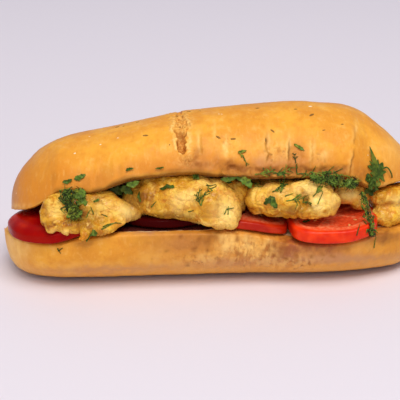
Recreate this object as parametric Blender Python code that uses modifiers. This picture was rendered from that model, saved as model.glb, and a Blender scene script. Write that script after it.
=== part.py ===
"""Shrimp kofta sandwich: a long soft roll cut right through, laid open like a book towards the
front (-Y), with tomato slices, whole battered shrimps and chopped dill and parsley in the mouth.

Sizes are in millimetres and become metres where a mesh is made. X runs along the roll, Z is up,
and the whole is set at the end so that the origin is on the table under its middle."""

import math
import random

import bmesh
import bpy
import numpy as np
from mathutils import Matrix, Vector, noise
from mathutils.bvhtree import BVHTree

MM = 0.001
GAP = 0.35  # air left between neighbouring pieces
SHRIMP_GAP = 0.6  # and round a shrimp, before its faces are made fewer
MIDDLE = (2.0, -2.9)  # x and y of the middle of the whole, which goes to the origin

# The roll.
ROLL_HALF_LENGTH = 107.5  # of the lower half, which is the longer one
TOP_HALF_LENGTH = 103.4
TOP_SHIFT = 2.0  # the upper half sits this much to the right
ROLL_SHIFT = 2.0  # x of the middle of the lower half
ROLL_HALF_DEPTH = 43.0
TOP_HALF_DEPTH = 42.3
TOP_TILT = math.radians(20.0)  # how far the upper half is laid back
TOP_CENTRE = (1.0, 45.2)  # y and z of the middle of the upper half's cut face
BACK_NIP = 1.6  # the rounded back edges are pressed together by this much
TOP_LIP = 3.0  # how far the crust turns in under the upper half
BASE_LIP = 4.0
BASE_DEPTH_SHARE = 1.08  # the lower crust would close this far down, but the table flattens it
CRUST_POWER = 2.3
CUT_POWER = 5.0

# Stops (x, value) along the roll, joined by a smooth curve.
# The crust's ridge, measured along the upper half's lean before its ends are rounded.
RIDGE = (
    (-106, 57), (-94, 58.8), (-86, 62.2), (-70, 65.6), (-40, 71.0), (-4, 77.0), (26, 79.4),
    (46, 80.6), (65, 79.4), (78, 76.6), (88, 70.0), (95, 65.6), (106, 61),
)
TOP_SAG = (
    (-98, -14.4), (-90, -13.3), (-84, -10.6), (-79, -7.3), (-75, -5.0), (-60, -6.2), (-49, -4), (-36, 0),
    (-12, 2.6), (14, -0.4), (60, -1.6), (68, -2), (77, -7), (91, -4.5), (104, -3),
)
FRONT_LIP_HEIGHT = (
    (-106, 25), (-80, 26.6), (-64, 30), (-45, 32.4), (10, 31.6), (25, 29), (38, 25.2), (52, 24.2),
    (66, 24.6), (80, 27.2), (106, 28),
)
PLAN_POWER = 6.0  # how square the lower half's ends are
TOP_PLAN_POWER = 5.0
RIDGE_POWER = 9.5
BASE_END_POWER = 22.0
BACK_LIP_HEIGHT = ((-106, 20), (-80, 21.5), (-60, 23), (-40, 24.8), (85, 24.6), (106, 26))
# Height of the underside, which is flat but for the left end.
UNDERSIDE = ((-107, 4.6), (-96, 3.2), (-82, 2.3), (-64, 1.3), (-48, 0.4), (-38, 0), (110, 0))

# Creases down the front crust: x, low end, high end, depth, half width.
CREASES = (
    (-6.5, 9, 19, 1.0, 2.0), (24.5, 11, 21, 1.0, 2.0), (36, -2, 17, 1.9, 2.2), (49, -2, 8, 1.3, 2.2),
    (68.6, -2, 24, 2.1, 2.3),
)
CRACK_X = -14.0  # the torn place in the upper crust
CRACK_DEPTH = 4.6
CRACK_HALF_WIDTH = 2.0

# Tomato slices: x and y of the middle, half length, half depth, thickness, dome, how much thicker
# the slice gets towards the back, and how square it is.
TOMATOES = {
    "tomato_left": (-74.8, -17.0, 27.5, 25.5, 6.6, 2.2, 0.0, 2.0),
    "tomato_inner": (-22.6, -16.0, 23.5, 24.0, 5.5, 0.0, 0.0, 2.3),
    "tomato_middle": (19.4, -19.0, 16.8, 22.0, 5.5, 0.0, 0.0, 2.5),
    "tomato_right": (58.8, -23.5, 22.2, 24.0, 8.0, 0.0, 0.0, 2.7),
}

# Shrimps: chains of balls (x, y, z, radius), each chain swept from ball to ball.
SHRIMPS = {
    "shrimp_1": (
        ((-75, -33, 41.4, 8.4), (-66, -32, 41, 10.2), (-57, -32, 41, 9.8), (-49, -33, 40.5, 7.6),
         (-42, -34, 39.6, 5.0), (-38, -34, 39, 2.6)),
        ((-76, -22, 37, 7.5), (-67, -18, 38, 8.6), (-57, -20, 37.5, 7.4)),
        ((-78.6, -36, 44.8, 4.0), (-81, -37.5, 41.6, 3.5), (-80.4, -39, 38.2, 3.5), (-76, -41, 37, 3.6),
         (-70, -42, 36.6, 3.6), (-64, -42, 36.4, 3.8)),
        ((-80, -40.5, 37.8, 2.8), (-78.6, -42.6, 35.4, 2.5)),
        ((-72.6, -42.6, 36.8, 3.0), (-72.0, -44.2, 34.8, 2.4)),
        ((-61, -42, 37, 3.8), (-62.4, -46, 33.2, 2.5), (-64, -47.4, 31.6, 1.6)),
        ((-60, -44, 35, 3), (-56, -45.6, 33.6, 2)),
    ),
    "shrimp_2": (
        ((-36, -27, 44, 8.6), (-29, -30, 45.4, 10), (-20, -32, 45.8, 11), (-10, -33, 45.2, 11.8),
         (-1, -34, 43.6, 11.4), (4, -35.5, 41.6, 9.2)),
        ((6.5, -38, 46, 4.6), (8, -40, 41, 4.4), (7, -42, 36.4, 4.2), (1.5, -42, 36.6, 4),
         (-6, -40, 38.2, 3.8)),
        ((3, -27, 46.4, 7), (9, -27.5, 46.8, 6.4), (12.6, -28.5, 46.4, 5.2), (12, -30, 41, 4.4)),
        ((-38, -24, 39, 5.5), (-34, -16, 42, 8), (-20, -15, 43, 9), (-4, -17, 42, 9.5)),
    ),
    "shrimp_3": (
        ((22, -33, 44, 7.2), (28, -33, 44.2, 8.8), (36, -33.4, 44, 9.4), (41, -33, 44, 7.4), (47, -33, 44, 6.6),
         (52, -34, 44, 6.4)),
        ((38, -36.6, 49, 4.2), (44.5, -37.6, 50.6, 4.4), (51, -38.4, 49.2, 4.6), (55, -39.4, 45, 4.4),
         (54.4, -40, 40.6, 4), (49.5, -40.4, 39.4, 3.6), (43, -39, 39.6, 3.6)),
        ((47, -39.5, 46, 3.0), (49.2, -41, 44.2, 3.4), (48.4, -41, 42, 3.0)),
        ((24, -17, 43, 8), (38, -15, 43, 9), (52, -18, 42, 9)),
    ),
    "shrimp_4": (
        ((83, -27, 41.2, 4.6), (89, -25, 40.8, 6), (95, -19, 40, 6), (97, -11, 38, 5.5)),
        ((83.4, -29, 33, 4.6), (88, -29, 32, 5.4), (94, -23, 32.4, 5.6), (96, -14, 33.5, 5.6)),
        ((88, -20, 37, 6.5), (92, -13, 37, 6.8)),
    ),
    "shrimp_back": (
        ((64.6, -26, 43.4, 4.6), (70, -26, 43, 5.2), (75.6, -21, 41, 5)),
        ((71.6, -27.4, 39, 3.4), (75, -26, 38, 3)),
        ((68, -12, 39, 5.4), (76, -10, 38, 5.2)),
    ),
}
SHRIMP_TRIANGLES = {"shrimp_1": 760, "shrimp_2": 780, "shrimp_3": 760, "shrimp_4": 460, "shrimp_back": 200}
BALL_STEP = 1.5
VOXEL = 1.2

# Herbs are strewn from here, in front and above, on to whatever each one meets first.
STREWN_FROM = Vector((-42.0, -539.0, 229.0))
STREWN_PLANE_Y = -44.0
# Where the small ones land: x, z, heading in degrees, length, width.
SHRIMP_HERBS = {
    "shrimp_1": ((-51, 37, 35, 9, 0.9), (-60, 33, 30, 7, 3.2), (-57, 49, 20, 3.5, 1.6), (-55, 44, 70, 6, 0.8)),
    "shrimp_2": ((-23, 54.5, 10, 7, 2.6), (-7, 49, 60, 7, 1.2), (-9, 51, 120, 6, 1.0), (-4, 53, 40, 7, 0.8),
                 (5, 43, 80, 5, 0.9), (6, 42, 20, 4.5, 0.8), (-30, 50, 100, 5, 1.2), (-33, 55, 35, 6, 2.4),
                 (8, 54, -30, 7, 3.4)),
    "shrimp_3": ((26, 48.5, 50, 9, 4.2), (32, 51, 75, 9, 1.2), (38, 47, 5, 7, 1.0), (43, 47.5, 45, 6, 0.9),
                 (50, 50.5, 40, 8, 0.9), (20, 54, 115, 4, 1.6)),
}
BUN_HERBS = {
    "bun_top": ((-68, 61, 25, 9, 1.6), (-63, 62.5, 60, 6, 1.6), (-41, 64, 15, 5, 1.2), (11, 70, 30, 6, 1.4),
                (13, 67.5, 120, 6, 1.2), (38, 73.5, 140, 6, 1.6), (39, 71.5, 80, 4, 1.6)),
    "bun_bottom": ((-75, 24, 30, 4, 0.9),),
}
SEEDS = ((-40, 82), (-33, 84), (-31, 79), (-22, 75), (-8, 86), (1, 79), (7, 78), (19, 88), (30, 88), (43, 87),
         (50, 82), (58, 84))
# Bunches of herbs. Where the soft middle lies, as (x, z, radius) on the strewing plane, or as
# (x, y, z, radius) where it hangs free; then how many sprigs, their longest length, and how far
# they stand out of the bunch.
BUNCHES = {
    "dill_clump": (((-70.5, 52, 2.6), (-66.5, 52, 2.8), (-69, 47, 2.8), (-67, 43.5, 2.4), (-63, 51, 2)),
                   24, 4.2, 0.35),
    "herb_tangle": (((46, -40.8, 57.2, 1.4), (53, -41, 57, 1.8), (59, -40.6, 55.6, 1.9), (66, -39, 53.4, 1.7)),
                    20, 4.8, 0.3),
    "parsley_hanging": (((72, -35.5, 47, 1.4), (73, -38.5, 43, 1.7), (74, -41, 38.5, 1.8),
                         (75.3, -43.8, 33.5, 1.5), (76, -45, 29.5, 1.0)), 18, 4.6, 0.5),
}
LEAF_PLACE = (76.4, 60.8)  # x and z of its middle on the strewing plane
LEAF_SIZE = 8.4
LEAF_WIDTH_SHARE = 0.66
LEAF_HEIGHT_SHARE = 1.2
LEAF_LEAN = -0.22  # how far its tip leans to the right for each millimetre up
LEAF_THICKNESS = 0.7
LEAF_LIFT = 1.1  # off what it lies on
STEM_ROUTE = ((77, 61), (80.8, 62.6), (83.2, 58.6), (83.8, 53.6))
STEM_THICKNESS = 1.0
SEED_LENGTH = 2.6
SEED_WIDTH = 0.9
HERB_THICKNESS = 0.7


def smooth(t):
    t = min(max(t, 0.0), 1.0)
    return t * t * (3.0 - 2.0 * t)


def along(x, stops):
    """The value at x on a smooth curve through the (x, value) stops."""
    x = min(max(x, stops[0][0]), stops[-1][0])
    for place in range(len(stops) - 1):
        x1, v1 = stops[place]
        x2, v2 = stops[place + 1]
        if x <= x2:
            break
    x0, v0 = stops[max(0, place - 1)]
    x3, v3 = stops[min(len(stops) - 1, place + 2)]
    share = (x - x1) / (x2 - x1)
    slope_1 = (v2 - v0) / (x2 - x0) * (x2 - x1)
    slope_2 = (v3 - v1) / (x3 - x1) * (x2 - x1)
    square, cube = share**2, share**3
    return (
        v1 * (2 * cube - 3 * square + 1) + slope_1 * (cube - 2 * square + share)
        + v2 * (3 * square - 2 * cube) + slope_2 * (cube - square)
    )


def bump(x, centre, half_width):
    return math.exp(-(((x - centre) / half_width) ** 2))


def end_share(x, half_length, power):
    """1 along the middle of the roll, falling to 0 at its round ends."""
    return math.sqrt(max(0.0, 1.0 - abs(x / half_length) ** power))


def signed_power(value, power):
    return math.copysign(abs(value) ** power, value)


def uneven(x, y, z, size, seed):
    return noise.noise(Vector((x / size + seed, y / size, z / size)))


def crack_line(rise):
    """x of the torn place at this height on the front crust."""
    return CRACK_X - 1.2 + 0.16 * abs(rise - 12.0) + 0.7 * math.sin(rise * 0.9)


def crust_relief(x, rise, front):
    """Outward relief of the upper crust in millimetres; rise is the height above the lip."""
    relief = 0.9 * uneven(x, rise, 0.0, 26.0, 3.1)
    if not front:
        return relief
    for centre, low, high, depth, half_width in CREASES:
        reach = smooth((rise - low + 3.0) / 4.0) * smooth((high + 3.0 - rise) / 4.0)
        relief -= depth * reach * bump(x, centre, half_width)
    centre = crack_line(rise)
    deep = 0.35 + 0.65 * smooth((rise - 6.0) / 6.0) * smooth((25.0 - rise) / 6.0)
    relief -= CRACK_DEPTH * deep * bump(x, centre, CRACK_HALF_WIDTH)
    relief += 0.8 * (bump(x, centre - 4.6, 1.8) + bump(x, centre + 4.8, 2.0))
    relief -= 1.8 * bump(x, 7.5, 4.5) * smooth((6.5 - rise) / 4.0)
    return relief


def cut_bend(x, across):
    """How far the upper half's section is shifted down or up; across is 1 at the front, -1 at the back."""
    share = end_share(x - TOP_SHIFT, TOP_HALF_LENGTH, TOP_PLAN_POWER)
    sag = along(x, TOP_SAG)
    if across >= 0.0:
        return sag * (0.8 + 0.2 * across)
    back_edge = TOP_CENTRE[1] + 0.6 * sag - TOP_HALF_DEPTH * share * math.sin(TOP_TILT) - TOP_LIP
    drop = max(0.0, back_edge - along(x, BACK_LIP_HEIGHT) + BACK_NIP) * smooth((share - 0.45) / 0.4)
    return sag * (0.8 + 0.2 * across) - drop * across**2


def top_point(x, angle):
    """The upper half: angle 0 is the front lip, a quarter turn the crown, a half turn the back."""
    length_x = x - TOP_SHIFT
    y0, z0 = TOP_CENTRE
    share = end_share(length_x, TOP_HALF_LENGTH, TOP_PLAN_POWER)
    half_depth = TOP_HALF_DEPTH * share
    ridge = along(x, RIDGE) - y0 * math.sin(TOP_TILT) - (z0 + cut_bend(x, 0.0)) * math.cos(TOP_TILT)
    crown = ridge * end_share(length_x, TOP_HALF_LENGTH, RIDGE_POWER)
    upper = math.sin(angle) >= 0.0
    turn = 2.0 / (CRUST_POWER if upper else CUT_POWER)
    across = signed_power(math.cos(angle), turn)
    forward = half_depth * across
    rise = (crown if upper else TOP_LIP * share) * signed_power(math.sin(angle), turn)
    if upper:
        fade = min(1.0, half_depth / 20.0)
        swell = 1.0 + fade * crust_relief(x, rise, math.cos(angle) > -0.2) / 38.0
        forward *= swell
        rise *= swell
    y = y0 - forward * math.cos(TOP_TILT) + rise * math.sin(TOP_TILT)
    z = z0 + cut_bend(x, across) + forward * math.sin(TOP_TILT) + rise * math.cos(TOP_TILT)
    return Vector((x, y, z))


def base_relief(x, drop):
    """Outward relief of the lower crust; drop is the depth below the lip."""
    relief = 0.7 * uneven(x, drop, 0.0, 24.0, 8.7)
    torn = bump(x, 18.0, 8.0) * smooth(drop / 3.0) * smooth((17.0 - drop) / 5.0)
    relief -= torn * (0.9 + 1.1 * uneven(x, drop, 0.0, 4.0, 1.3))
    relief -= 0.9 * bump(x, -15.0, 2.6) * bump(drop, 5.0, 3.0)
    return relief


def lip_height(x, across):
    """Height of the lower half's cut edge; across is 1 at the front and -1 at the back."""
    front = 0.5 + 0.5 * across
    return along(x, FRONT_LIP_HEIGHT) * front + along(x, BACK_LIP_HEIGHT) * (1.0 - front)


def base_point(x, angle):
    """The lower half: angle 0 is the front lip, and a quarter turn is the cut face."""
    share = end_share(x - ROLL_SHIFT, ROLL_HALF_LENGTH, PLAN_POWER)
    half_depth = ROLL_HALF_DEPTH * share
    upper = math.sin(angle) >= 0.0
    turn = 2.0 / (CUT_POWER if upper else CRUST_POWER)
    across = signed_power(math.cos(angle), turn)
    edge = lip_height(x, across) - BASE_LIP
    if upper:
        depth = BASE_LIP * min(1.0, share * 1.6)
    else:
        depth = edge * BASE_DEPTH_SHARE * end_share(x - ROLL_SHIFT, ROLL_HALF_LENGTH, BASE_END_POWER)
    forward = half_depth * across
    rise = depth * signed_power(math.sin(angle), turn)
    if not upper:
        fade = min(1.0, half_depth / 20.0) if across > 0.0 else 0.3
        forward *= 1.0 + fade * base_relief(x, -rise) / ROLL_HALF_DEPTH
    return Vector((x, -forward, max(0.0, along(x, UNDERSIDE), edge + rise)))


def cut_height(x, y):
    """Height of the lower half's cut face."""
    share = end_share(x - ROLL_SHIFT, ROLL_HALF_LENGTH, PLAN_POWER)
    across = min(1.0, max(-1.0, -y / max(ROLL_HALF_DEPTH * share, 0.001)))
    rounding = BASE_LIP * min(1.0, share * 1.6)
    inner = (1.0 - abs(across) ** CUT_POWER) ** (1.0 / CUT_POWER)
    return lip_height(x, across) - BASE_LIP + rounding * inner


def station_places(count, half_length, shift, dense_spots):
    """x of count + 1 rings, closer at the round ends and at the dense spots."""
    fine = np.linspace(-1.0, 1.0, 4001)
    density = 1.0 + 5.0 * np.abs(fine) ** 14
    for centre, half_width, boost in dense_spots:
        density += boost * np.exp(-(((fine * half_length + shift - centre) / half_width) ** 2))
    reach = np.cumsum(density)
    reach = (reach - reach[0]) / (reach[-1] - reach[0])
    places = np.interp(np.linspace(0.0, 1.0, count + 1), reach, fine)
    return places * half_length + shift


def material(name, colour, roughness):
    made = bpy.data.materials.new(name)
    made.use_nodes = True
    shader = made.node_tree.nodes["Principled BSDF"]
    shader.inputs["Base Color"].default_value = (*colour, 1.0)
    shader.inputs["Roughness"].default_value = roughness
    shader.inputs["Metallic"].default_value = 0.0
    made.diffuse_color = (*colour, 1.0)
    return made


def new_object(name, bm, collection, finish):
    """Makes an object of the mesh, whose sizes are in millimetres so far."""
    bmesh.ops.scale(bm, vec=(MM, MM, MM), verts=bm.verts)
    bmesh.ops.recalc_face_normals(bm, faces=bm.faces)
    mesh = bpy.data.meshes.new(name)
    bm.to_mesh(mesh)
    bm.free()
    mesh.shade_smooth()
    obj = bpy.data.objects.new(name, mesh)
    collection.objects.link(obj)
    if finish:
        mesh.materials.append(finish)
    return obj


def bun_half(name, collection, finish, point, places, around, crust_share):
    """A sphere whose poles are the roll's ends, each ring laid on its section of the roll."""
    bm = bmesh.new()
    stations = len(places) - 1
    bmesh.ops.create_uvsphere(bm, u_segments=around, v_segments=stations, radius=1.0)
    for vert in bm.verts:
        polar = math.acos(min(1.0, max(-1.0, vert.co.z))) / math.pi
        x = float(places[round(polar * stations)])
        share = (math.atan2(vert.co.y, vert.co.x) / math.tau) % 1.0
        if share < crust_share:
            angle = math.pi * share / crust_share
        else:
            angle = math.pi * (1.0 + (share - crust_share) / (1.0 - crust_share))
        vert.co = point(x, angle)
    bmesh.ops.triangulate(bm, faces=bm.faces)
    return new_object(name, bm, collection, finish)


def tomato_slice(name, collection, finish):
    """A round slice that lies on the cut face and takes its shape."""
    x0, y0, half_length, half_depth, thickness, dome, wedge, square = TOMATOES[name]
    bm = bmesh.new()
    bmesh.ops.create_uvsphere(bm, u_segments=24, v_segments=8, radius=1.0)
    for vert in bm.verts:
        turn = math.atan2(vert.co.y, vert.co.x)
        polar = math.acos(min(1.0, max(-1.0, vert.co.z)))
        reach = abs(math.sin(polar)) ** 0.25
        level = signed_power(math.cos(polar), 0.4) if reach > 0.0 else math.cos(polar)
        wobble = 1.0 + 0.02 * math.sin(3.0 * turn + x0) + 0.012 * math.sin(7.0 * turn)
        x = x0 + half_length * wobble * reach * signed_power(math.cos(turn), 2.0 / square)
        y = y0 + half_depth * wobble * reach * signed_power(math.sin(turn), 2.0 / square)
        thick = thickness + wedge * (y - y0 + half_depth)
        height = 0.5 * thick * (1.0 + level) + dome * max(0.0, level) * (1.0 - reach**4)
        vert.co = Vector((x, y, slice_floor(x, y) + height))
    bmesh.ops.triangulate(bm, faces=bm.faces)
    return new_object(name, bm, collection, finish)


def slice_floor(x, y):
    """Where the underside of a slice lies: on the cut face, and level where it hangs over the lip."""
    share = end_share(x - ROLL_SHIFT, ROLL_HALF_LENGTH, PLAN_POWER)
    inside_y = math.copysign(min(abs(y), 0.8 * ROLL_HALF_DEPTH * share), y)
    return max(cut_height(x, inside_y), cut_height(x, y)) + GAP + 0.15


def swept_balls(bm, chain):
    """Spheres swept from ball to ball, with the shallow rings of a shrimp's tail."""
    travelled = 0.0
    for (x0, y0, z0, r0), (x1, y1, z1, r1) in zip(chain, chain[1:]):
        length = math.dist((x0, y0, z0), (x1, y1, z1))
        steps = max(1, round(length / BALL_STEP))
        for step in range(steps + 1):
            share = step / steps
            ripple = 1.0 + 0.025 * math.cos((travelled + share * length) * math.tau / 7.5)
            radius = (r0 + (r1 - r0) * share) * ripple
            middle = (x0 + (x1 - x0) * share, y0 + (y1 - y0) * share, z0 + (z1 - z0) * share)
            place = Matrix.Translation(middle)
            bmesh.ops.create_icosphere(bm, subdivisions=2, radius=radius, matrix=place)
        travelled += length


def evaluated_mesh(obj):
    depsgraph = bpy.context.evaluated_depsgraph_get()
    return bpy.data.meshes.new_from_object(obj.evaluated_get(depsgraph))


def bake(obj):
    """Replaces the object's mesh with what its modifiers make, and removes them."""
    old = obj.data
    baked = evaluated_mesh(obj)
    obj.modifiers.clear()
    obj.data = baked
    bpy.data.meshes.remove(old)


def reduce_to(obj, triangles):
    bm = bmesh.new()
    bm.from_mesh(obj.data)
    bmesh.ops.triangulate(bm, faces=bm.faces)
    count = len(bm.faces)
    bm.to_mesh(obj.data)
    bm.free()
    if count > triangles:
        fewer = obj.modifiers.new("fewer faces", "DECIMATE")
        fewer.ratio = triangles / count
        bake(obj)


def keep_largest_body(obj):
    """Drops the loose scraps that a cut can leave."""
    bm = bmesh.new()
    bm.from_mesh(obj.data)
    left = set(bm.verts)
    bodies = []
    while left:
        front = [left.pop()]
        body = set(front)
        while front:
            for edge in front.pop().link_edges:
                for vert in edge.verts:
                    if vert in left:
                        left.remove(vert)
                        body.add(vert)
                        front.append(vert)
        bodies.append(body)
    largest = max(bodies, key=len)
    scraps = [vert for body in bodies if body is not largest for vert in body]
    bmesh.ops.delete(bm, geom=scraps, context="VERTS")
    bmesh.ops.triangulate(bm, faces=bm.faces)
    bm.to_mesh(obj.data)
    bm.free()


def clear_of(obj, neighbours, gap):
    """Cuts the object back so that it keeps the gap to each neighbour."""
    for other in neighbours:
        swollen = bpy.data.objects.new(f"{other.name} swollen", other.data.copy())
        bpy.context.scene.collection.objects.link(swollen)
        grow = swollen.modifiers.new("gap", "DISPLACE")
        grow.mid_level = 0.0
        grow.strength = gap * MM
        bake(swollen)
        cut = obj.modifiers.new("cut back", "BOOLEAN")
        cut.operation = "DIFFERENCE"
        cut.solver = "MANIFOLD"
        cut.object = swollen
        bake(obj)
        bpy.data.objects.remove(swollen)
    keep_largest_body(obj)


def shrimp(name, collection, finish, neighbours):
    bm = bmesh.new()
    for chain in SHRIMPS[name]:
        swept_balls(bm, chain)
    obj = new_object(name, bm, collection, finish)
    skin = obj.modifiers.new("one skin", "REMESH")
    skin.mode = "VOXEL"
    skin.voxel_size = VOXEL * MM
    soft = obj.modifiers.new("soft skin", "SMOOTH")
    soft.factor = 0.5
    soft.iterations = 4
    bake(obj)
    for vert in obj.data.vertices:
        x, y, z = vert.co / MM
        lump = 0.9 * uneven(x, y, z, 9.0, 5.0) + 0.5 * uneven(x, y, z, 4.5, 2.0)
        vert.co += vert.normal * lump * MM
    reduce_to(obj, 4 * SHRIMP_TRIANGLES[name])
    clear_of(obj, neighbours, SHRIMP_GAP)
    reduce_to(obj, SHRIMP_TRIANGLES[name])
    return obj


def strewn_hit(tree, x, z):
    """Where a herb strewn towards (x, z) on the front plane meets the surface, and its normal."""
    towards = (Vector((x, STREWN_PLANE_Y, z)) - STREWN_FROM).normalized()
    point, normal, _, _ = tree.ray_cast(STREWN_FROM * MM, towards)
    if point is None:
        raise RuntimeError(f"nothing to land on at {x}, {z}")
    return point / MM, normal


def lying_frame(point, normal, heading):
    """A matrix at the point, its z along the normal and its x along the heading, seen from the front."""
    across = Vector((math.cos(heading), 0.0, math.sin(heading)))
    across = (across - normal * across.dot(normal)).normalized()
    side = normal.cross(across)
    turn = Matrix((across, side, normal)).transposed().to_4x4()
    return Matrix.Translation(point) @ turn


def surface_tree(*objects):
    bm = bmesh.new()
    for obj in objects:
        bm.from_mesh(obj.data)
    tree = BVHTree.FromBMesh(bm)
    bm.free()
    return tree


def strip(collection, frame, length, width, thickness):
    """A thin pointed strip, sunk to half its thickness."""
    bm = bmesh.new()
    bmesh.ops.create_cube(bm, size=1.0)
    for vert in bm.verts:
        taper = 0.45 if vert.co.x > 0.0 else 1.0
        vert.co = Vector((vert.co.x * length, vert.co.y * width * taper, vert.co.z * thickness))
    bmesh.ops.transform(bm, matrix=frame, verts=bm.verts)
    return new_object("strip", bm, collection, None)


def sprig(collection, start, towards, length):
    """A needle leaf from the start, thinner at its tip."""
    turn = towards.to_track_quat("X", "Z").to_matrix().to_4x4()
    middle = start + towards * (0.5 * length)
    return strip(collection, Matrix.Translation(middle) @ turn, length, 1.1, HERB_THICKNESS)


def bunch_middle(places, tree):
    """The balls of a bunch's middle, each lying on what is under it unless it hangs free."""
    balls = []
    for place in places:
        if len(place) == 3:
            x, z, radius = place
            point, normal = strewn_hit(tree, x, z)
            balls.append((*(point + normal * (0.6 * radius)), radius))
        else:
            balls.append(place)
    return balls


def herb_bunch(name, collection, finish, bits, neighbours, rng):
    """A small soft middle with sprigs standing out of it."""
    places, count, longest, stand = BUNCHES[name]
    balls = bunch_middle(places, surface_tree(*neighbours))
    bm = bmesh.new()
    swept_balls(bm, balls)
    obj = new_object(name, bm, collection, finish)
    skin = obj.modifiers.new("one skin", "REMESH")
    skin.mode = "VOXEL"
    skin.voxel_size = 0.7 * MM
    bake(obj)
    reduce_to(obj, 120)
    for number in range(count):
        x, y, z, radius = balls[number % len(balls)]
        turn = math.tau * (number * 0.382 + rng.uniform(-0.1, 0.1))
        towards = Vector((math.cos(turn), stand * rng.uniform(-1.4, 0.1), 0.75 * math.sin(turn))).normalized()
        start = Vector((x, y, z)) + towards * (0.3 * radius)
        sprig(bits, start, towards, radius + longest * rng.uniform(0.45, 1.0))
    fuse(obj, bits)
    clear_of(obj, neighbours, GAP)
    return obj


def leaf_outline(turn):
    """Reach of a parsley leaf: three toothed lobes and a notch at the stem."""
    lobes = 0.66 + 0.26 * math.cos(3.0 * (turn - math.pi / 2.0))
    teeth = 0.09 * math.cos(12.0 * turn)
    return lobes + teeth


def parsley_leaf(collection, finish, bits, neighbours):
    """A thin wavy lobed leaf on a curved stem, laid on the crust."""
    tree = surface_tree(*neighbours)
    bm = bmesh.new()
    bmesh.ops.create_circle(bm, cap_ends=True, cap_tris=True, segments=48, radius=1.0)
    bmesh.ops.subdivide_edges(bm, edges=[edge for edge in bm.edges if not edge.is_boundary], cuts=1)
    bmesh.ops.triangulate(bm, faces=bm.faces)
    x0, z0 = LEAF_PLACE
    for vert in bm.verts:
        turn = math.atan2(vert.co.y, vert.co.x)
        reach = LEAF_SIZE * vert.co.length * leaf_outline(turn)
        up = LEAF_HEIGHT_SHARE * reach * math.sin(turn)
        across = LEAF_WIDTH_SHARE * reach * math.cos(turn) + LEAF_LEAN * up
        point, normal = strewn_hit(tree, x0 + across, z0 + up)
        wave = 0.5 + 0.5 * math.sin(0.7 * across + 0.5 * up)
        vert.co = point + normal * (LEAF_LIFT + 0.8 * wave)
    obj = new_object("parsley_leaf", bm, collection, finish)
    thick = obj.modifiers.new("thickness", "SOLIDIFY")
    thick.thickness = LEAF_THICKNESS * MM
    thick.offset = 0.0
    bake(obj)
    places = []
    for x, z in STEM_ROUTE:
        point, normal = strewn_hit(tree, x, z)
        places.append(point + normal * (LEAF_LIFT + 0.3))
    for start, end in zip(places, places[1:]):
        towards = (end - start).normalized()
        turn = towards.to_track_quat("X", "Z").to_matrix().to_4x4()
        bm = bmesh.new()
        bmesh.ops.create_cone(
            bm, cap_ends=True, cap_tris=True, segments=6, radius1=0.5 * STEM_THICKNESS,
            radius2=0.45 * STEM_THICKNESS, depth=(end - start).length + 0.8,
            matrix=Matrix.Rotation(math.pi / 2.0, 4, "Y"),
        )
        bmesh.ops.transform(bm, matrix=Matrix.Translation((start + end) / 2.0) @ turn, verts=bm.verts)
        new_object("stem", bm, bits, None)
    fuse(obj, bits)
    clear_of(obj, neighbours, GAP)
    return obj


def seed(collection, frame):
    bm = bmesh.new()
    bmesh.ops.create_icosphere(bm, subdivisions=1, radius=0.5)
    for vert in bm.verts:
        vert.co = Vector((vert.co.x * SEED_LENGTH, vert.co.y * SEED_WIDTH, vert.co.z * SEED_WIDTH))
    bmesh.ops.transform(bm, matrix=frame, verts=bm.verts)
    return new_object("seed", bm, collection, None)


def fuse(obj, bits):
    """Joins the collection's bits to the object and removes them."""
    join = obj.modifiers.new("fused", "BOOLEAN")
    join.operation = "UNION"
    join.solver = "MANIFOLD"
    join.operand_type = "COLLECTION"
    join.collection = bits
    bake(obj)
    for bit in list(bits.objects):
        bpy.data.objects.remove(bit)
    keep_largest_body(obj)


def strew_herbs(obj, herbs, bits):
    tree = surface_tree(obj)
    for x, z, heading, length, width in herbs:
        point, normal = strewn_hit(tree, x, z)
        strip(bits, lying_frame(point, normal, math.radians(heading)), length, width, HERB_THICKNESS)


def strew_seeds(obj, bits, rng):
    tree = surface_tree(obj)
    for x, z in SEEDS:
        point, normal = strewn_hit(tree, x, z)
        seed(bits, lying_frame(point, normal, rng.uniform(0.0, math.pi)))


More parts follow.
